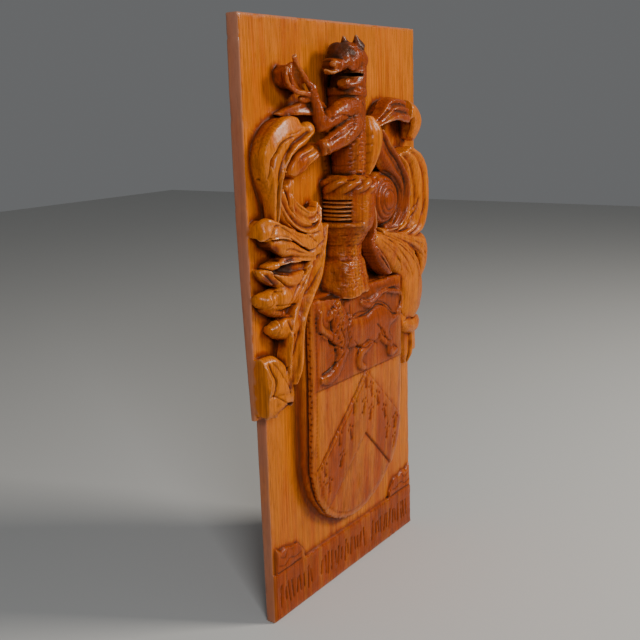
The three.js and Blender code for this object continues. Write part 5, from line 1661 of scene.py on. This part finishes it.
def noise(tree, vector, scale, detail, rough, place):
    """Noise, scaled by its own amount along each axis."""
    return node(tree, "ShaderNodeTexNoise", place, Scale=1.0, Detail=detail, Roughness=rough,
                Vector=stretched(tree, vector, scale, (place[0] - 200, place[1]))).outputs["Fac"]


def stretched(tree, vector, scale, place):
    """A vector scaled by its own amount along each axis."""
    return node(tree, "ShaderNodeMapping", place, Scale=scale, Vector=vector).outputs["Vector"]


def moved(tree, vector, axis, amount, place):
    """A vector pushed along one axis by an amount that changes over the surface."""
    push = node(tree, "ShaderNodeCombineXYZ", (place[0] - 200, place[1] - 100), **{axis: amount})
    made = node(tree, "ShaderNodeVectorMath", place, operation="ADD")
    feed(tree, vector, made.inputs[0])
    feed(tree, push.outputs[0], made.inputs[1])
    return made.outputs[0]


def scaled(tree, vector, amount, place):
    """A vector or a colour times one amount."""
    made = node(tree, "ShaderNodeVectorMath", place, operation="SCALE")
    feed(tree, vector, made.inputs[0])
    feed(tree, amount, made.inputs["Scale"])
    return made.outputs[0]


def limits(tree, value, low, high, place):
    """Spreads a value between two limits smoothly over 0 to 1."""
    made = node(tree, "ShaderNodeMapRange", place, interpolation_type="SMOOTHSTEP", Value=value)
    feed(tree, low, made.inputs["From Min"])
    feed(tree, high, made.inputs["From Max"])
    return made.outputs["Result"]


def wood_grain_group():
    """Shader group for straight-grained wood: bands, fine streaks, short open pores and a lively figure."""
    group, inlet, outlet = group_with(
        "ShaderNodeTree", "wood_grain", (("Vector", "Vector"), ("Band width", "Float")),
        [(name, "Float") for name in ("Bands", "Streaks", "Pores", "Figure")])
    vector = inlet.outputs["Vector"]
    bend = noise(group, vector, (3.0, 3.0, 1.2), 2.0, 0.5, (-1000, 300))
    flow = moved(group, vector, "X", math_node(group, "MULTIPLY", bend, 0.03, (-800, 300)), (-600, 200))
    rate = math_node(group, "DIVIDE", 1.0, inlet.outputs["Band width"], (-1000, -100))
    wide = scaled(group, flow, rate, (-400, 200))
    for k, (name, source, scale, detail, rough, low, high) in enumerate((
            ("Bands", wide, (1.0, 0.5, 0.05), 3.0, 0.6, 0.32, 0.68),
            ("Streaks", flow, (420.0, 260.0, 9.0), 4.0, 0.62, 0.3, 0.7),
            ("Pores", flow, (900.0, 900.0, 42.0), 1.0, 0.5, 0.6, 0.72),
            ("Figure", flow, (14.0, 14.0, 34.0), 2.0, 0.5, 0.3, 0.7))):
        made = noise(group, source, scale, detail, rough, (0, 300 - 300 * k))
        feed(group, limits(group, made, low, high, (300, 300 - 300 * k)), outlet.inputs[name])
    return group


def tool_marks_group():
    """Shader group for the small scallops that a gouge leaves on a stippled surface."""
    group, inlet, outlet = group_with("ShaderNodeTree", "tool_marks", (("Vector", "Vector"),),
                                      (("Marks", "Float"),))
    vector = inlet.outputs["Vector"]
    wavy = noise(group, vector, (60.0, 60.0, 60.0), 2.0, 0.5, (-200, 200))
    bent = moved(group, vector, "Z", math_node(group, "MULTIPLY", wavy, 0.012, (0, 200)), (200, 0))
    cells_of = node(group, "ShaderNodeTexVoronoi", (450, -100), Scale=1.0,
                    Vector=stretched(group, bent, (110.0, 110.0, 260.0), (250, -200)))
    feed(group, cells_of.outputs["Distance"], outlet.inputs["Marks"])
    return group


def carved_wood(finish):
    """Varnished hardwood: golden ground, stained carving, hollows darkened with gathered staining and
    painted shade, creases with dirt and painted shade, and rubbed edges.
    """
    material = bpy.data.materials.new("carved_wood")
    material.use_nodes = True
    tree = material.node_tree
    tree.nodes.clear()
    place = node(tree, "ShaderNodeTexCoord", (-1800, 0)).outputs["Object"]
    grain = node(tree, "ShaderNodeGroup", (-1500, 200), node_tree=wood_grain_group())
    feed(tree, finish.grain_width, grain.inputs["Band width"])
    feed(tree, place, grain.inputs["Vector"])
    tool = node(tree, "ShaderNodeGroup", (-1500, -200), node_tree=tool_marks_group())
    feed(tree, place, tool.inputs["Vector"])
    masks = {}
    for k, name in enumerate(("stain_and_shade", "stipple", "hollow", "crease_dirt_and_shade", "worn", "proud", "dusty")):
        made = node(tree, "ShaderNodeAttribute", (-1800, -300 - 200 * k), attribute_name=name)
        masks[name] = made.outputs["Fac"]
    blotch = noise(tree, place, (14.0, 14.0, 5.0), 3.0, 0.6, (-1300, -500))
    colour = varnished_colour(tree, finish, place, grain.outputs, masks, blotch)

    shader = node(tree, "ShaderNodeBsdfPrincipled", (900, 0), IOR=1.48)
    for name, value in (("Specular IOR Level", 0.16), ("Coat Roughness", 0.19), ("Coat IOR", 1.36)):
        feed(tree, value, shader.inputs[name])
    feed(tree, colour, shader.inputs["Base Color"])
    rough = math_node(tree, "MULTIPLY", grain.outputs["Streaks"], 0.12, (400, -100))
    rough = math_node(tree, "ADD", rough, finish.gloss - 0.06, (500, -100))
    rough = add_share(tree, rough, masks["crease_dirt_and_shade"], 0.3, (650, -100), clamp=True)
    feed(tree, rough, shader.inputs["Roughness"])
    coat = add_share(tree, 0.08, masks["proud"], 1.1, (500, -400))
    coat = add_share(tree, coat, masks["crease_dirt_and_shade"], 0.4, (700, -300), "SUBTRACT", clamp=True)
    feed(tree, coat, shader.inputs["Coat Weight"])
    height = math_node(tree, "MULTIPLY", grain.outputs["Streaks"], STREAK_HEIGHT, (200, -700))
    height = add_share(tree, height, grain.outputs["Pores"], PORE_DEPTH, (400, -700), "SUBTRACT")
    height = add_share(tree, height, grain.outputs["Figure"], FIGURE_HEIGHT, (550, -700))
    marks = math_node(tree, "MULTIPLY", tool.outputs["Marks"], masks["stipple"], (200, -1000))
    height = add_share(tree, height, marks, MARK_HEIGHT, (700, -700))
    bump = node(tree, "ShaderNodeBump", (750, -600), Strength=0.8, Distance=1.0, Height=height)
    feed(tree, bump.outputs["Normal"], shader.inputs["Normal"])
    out = node(tree, "ShaderNodeOutputMaterial", (1200, 0))
    feed(tree, shader.outputs[0], out.inputs["Surface"])
    return material


def varnished_colour(tree, finish, place, grain, masks, blotch):
    """Colour of the wood: how deeply it is stained, with painted shade in its hollows and towards its foot,
    then its streaks, pores, dirt and painted shade in the creases, rubbed edges and dust.
    """
    uneven = math_node(tree, "SUBTRACT", grain["Bands"], 0.5, (-1300, 300))
    depth = add_share(tree, masks["stain_and_shade"], uneven, 0.34, (-1000, 300))
    patchy = math_node(tree, "SUBTRACT", blotch, 0.5, (-1100, -400))
    depth = add_share(tree, depth, patchy, 0.7, (-900, 250))
    parts = node(tree, "ShaderNodeSeparateXYZ", (-1400, 600), Vector=place)
    # Painted shade: darker below the foot level, more so towards the bottom
    low = math_node(tree, "SUBTRACT", FOOT_LEVEL, parts.outputs["Z"], (-1200, 600), clamp=True)
    depth = add_share(tree, depth, low, 0.5, (-800, 200))
    depth = add_share(tree, depth, masks["proud"], 0.22, (-700, 150), "SUBTRACT")
    # Darker in the hollows: staining gathered there and painted shade
    depth = add_share(tree, depth, masks["hollow"], 0.62, (-600, 100), clamp=True)
    ramp = node(tree, "ShaderNodeValToRGB", (-500, 200), Fac=depth)
    ramp.color_ramp.elements[0].color = (*finish.golden, 1)
    ramp.color_ramp.elements[1].color = (*finish.umber, 1)
    ramp.color_ramp.elements.new(0.45).color = (*finish.russet, 1)
    light = math_node(tree, "MULTIPLY", grain["Streaks"], 0.45, (-600, -100))
    light = add_share(tree, light, grain["Bands"], 0.3, (-450, -100))
    light = math_node(tree, "ADD", light, 0.55, (-300, -100))
    colour = scaled(tree, ramp.outputs["Color"], light, (-200, 200))
    pores = math_node(tree, "MULTIPLY", grain["Pores"], 0.4, (-200, -200))
    colour = mix_colours(tree, pores, colour, PORE_COLOUR, (0, 200))
    # Dirt and painted shade in the creases and on the parts painted dark or in shade
    colour = mix_colours(tree, masks["crease_dirt_and_shade"], colour, DIRT_AND_SHADE_COLOUR, (200, 200))
    worn = math_node(tree, "MULTIPLY", masks["worn"],
                     math_node(tree, "ADD", blotch, 0.4, (-200, -600)), (0, -500))
    rub = math_node(tree, "MULTIPLY", limits(tree, worn, 0.35, 0.95, (200, -400)), 0.4, (300, -300))
    colour = mix_colours(tree, rub, colour, RUBBED_COLOUR, (400, 200))
    dust = math_node(tree, "MULTIPLY", masks["dusty"],
                     math_node(tree, "ADD", blotch, 0.1, (300, 500)), (500, 500), clamp=True)
    return mix_colours(tree, dust, colour, DUST_COLOUR, (600, 200))


def plain_material(name, colour, roughness):
    """A plain matt material for the floor."""
    material = bpy.data.materials.new(name)
    material.use_nodes = True
    shader = material.node_tree.nodes["Principled BSDF"]
    shader.inputs["Base Color"].default_value = (*colour, 1)
    shader.inputs["Roughness"].default_value = roughness
    return material


# Operators

# How far the floor runs to each side, in metres
FLOOR_REACH = 6.0


class CARVED_OT_panel(bpy.types.Operator):
    """Carves the panel with its shield, helmet, crest, mantling and motto band"""

    bl_idname = "carved.panel"
    bl_label = "Carve the panel"

    def execute(self, context):
        sizes = context.scene.carved_board
        detail = context.scene.carved_detail
        half = int(HALF_MM * sizes.upper_width) + 8
        block = Block((-half, -104, -8), (half, 8, int(MM * sizes.height) + 8), MM * sizes.thickness)
        outline = cut_board(block, sizes, detail)
        block.add(motto_band(block, sizes), MOTTO)
        block.add(ribbon_ends(block, sizes), MOTTO)
        block.add(shield(block, sizes), SHIELD)
        tick_shield_side(block, sizes)
        shield_lines(block, sizes)
        carve_shield_beast(block, sizes)
        carve_mantling(block, MM * detail.undercut)
        block.add(helmet(block.thickness), HELM)
        block.add(twisted_roll(block.thickness), ROLL)
        carve_demi_beast(block)
        block.lines(CUT_LINES)
        wood = carved_wood(context.scene.carved_finish)
        engrave_marks(block, detail, wood)
        finish_block(block, outline, sizes, detail)
        mesh = thin_out(mesh_of(block, "skin"), detail.faces)
        add_masks(mesh, block)
        places = points_of(mesh)
        places[:, 2] -= HALF_MM * sizes.height
        mesh.vertices.foreach_set("co", (places / MM).ravel())
        mesh.update()
        turn_outwards(mesh)
        mesh.shade_smooth()
        mesh.set_sharp_from_angle(angle=math.radians(48))
        mesh.materials.append(wood)
        panel = stand("carved_coat_of_arms", mesh)
        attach(panel, "root")
        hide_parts("carved_panel")
        return {"FINISHED"}


def turn_outwards(mesh):
    """Turns all faces round if they point into the wood."""
    a, b, c = np.moveaxis(points_of(mesh)[triangles_of(mesh)], 1, 0)
    if np.einsum("ij,ij->", a, np.cross(b, c)) < 0:
        mesh.flip_normals()


class CARVED_OT_studio(bpy.types.Operator):
    """Sets up the floor, the soft lights and the camera"""

    bl_idname = "carved.studio"
    bl_label = "Set up the studio"

    def execute(self, context):
        setup = context.scene.carved_studio
        lay_floor()
        place_camera(context, setup)
        area_light("key_light", (1.5, -2.5, 1.7), setup.key_power, 0.9, (1.0, 0.94, 0.86))
        area_light("fill_light", (-2.1, -2.1, 1.5), setup.fill_power, 0.8, (0.95, 0.97, 1.0))
        world = bpy.data.worlds.new("studio")
        world.use_nodes = True
        background = world.node_tree.nodes["Background"]
        background.inputs["Color"].default_value = (0.86, 0.88, 0.9, 1)
        background.inputs["Strength"].default_value = setup.room_light
        context.scene.world = world
        return {"FINISHED"}


def lay_floor():
    """A large pale floor under the panel's foot."""
    mesh = bpy.data.meshes.new("floor")
    foot = PANEL_LOW.z - 0.0005
    corners = ((-1, -1), (1, -1), (1, 1), (-1, 1))
    mesh.from_pydata([(x * FLOOR_REACH, y * FLOOR_REACH, foot) for x, y in corners], [], [(0, 1, 2, 3)])
    mesh.materials.append(plain_material("floor", (0.6, 0.6, 0.58), 0.8))
    stand("floor", mesh)


def place_camera(context, setup):
    """The camera at the photograph's viewing angle."""
    data = bpy.data.cameras.new("camera")
    data.lens = setup.lens
    data.sensor_width = 36.0
    ahead = Vector((0.80219, 0.55441, -0.22164)).normalized()
    right = ahead.cross(Vector((0.19852, 0.10244, 0.97473))).normalized()
    turn = Matrix((right, right.cross(ahead), -ahead)).transposed().to_4x4()
    camera = stand("camera", data)
    camera.matrix_world = Matrix.Translation((-1.32124, -0.88593, 0.34526)) @ turn
    context.scene.camera = camera


def area_light(name, place, power, size, colour):
    """A soft square light that points at the middle of the panel."""
    data = bpy.data.lights.new(name, "AREA")
    data.energy = power
    data.size = size
    data.color = colour
    light = stand(name, data)
    light.location = place
    light.rotation_euler = (-Vector(place)).to_track_quat("-Z", "Y").to_euler()


class CARVED_PT_tools(bpy.types.Panel):
    """Sizes, finish and buttons for the carved coat of arms"""

    bl_idname = "CARVED_PT_tools"
    bl_label = "Coat of arms"
    bl_space_type = "VIEW_3D"
    bl_region_type = "UI"
    bl_category = "Coat of arms"

    def draw(self, context):
        scene = context.scene
        for group in (scene.carved_board, scene.carved_detail, scene.carved_finish, scene.carved_studio):
            box = self.layout.box()
            for name in group.bl_rna.properties.keys():
                if name not in {"rna_type", "name"}:
                    box.prop(group, name)
        self.layout.operator(CARVED_OT_panel.bl_idname)
        self.layout.operator(CARVED_OT_studio.bl_idname)


CLASSES = (BoardSizes, CarvingDetail, WoodFinish, StudioSetup, CARVED_OT_panel, CARVED_OT_studio,
           CARVED_PT_tools)
GROUPS = {"carved_board": BoardSizes, "carved_detail": CarvingDetail, "carved_finish": WoodFinish,
          "carved_studio": StudioSetup}


def register():
    for cls in CLASSES:
        bpy.utils.register_class(cls)
    for name, group in GROUPS.items():
        setattr(bpy.types.Scene, name, bpy.props.PointerProperty(type=group))


def unregister():
    for name in GROUPS:
        delattr(bpy.types.Scene, name)
    for cls in reversed(CLASSES):
        bpy.utils.unregister_class(cls)


def main():
    register()
    bpy.ops.carved.studio()
    bpy.ops.carved.panel()


if __name__ == "__main__":
    main()
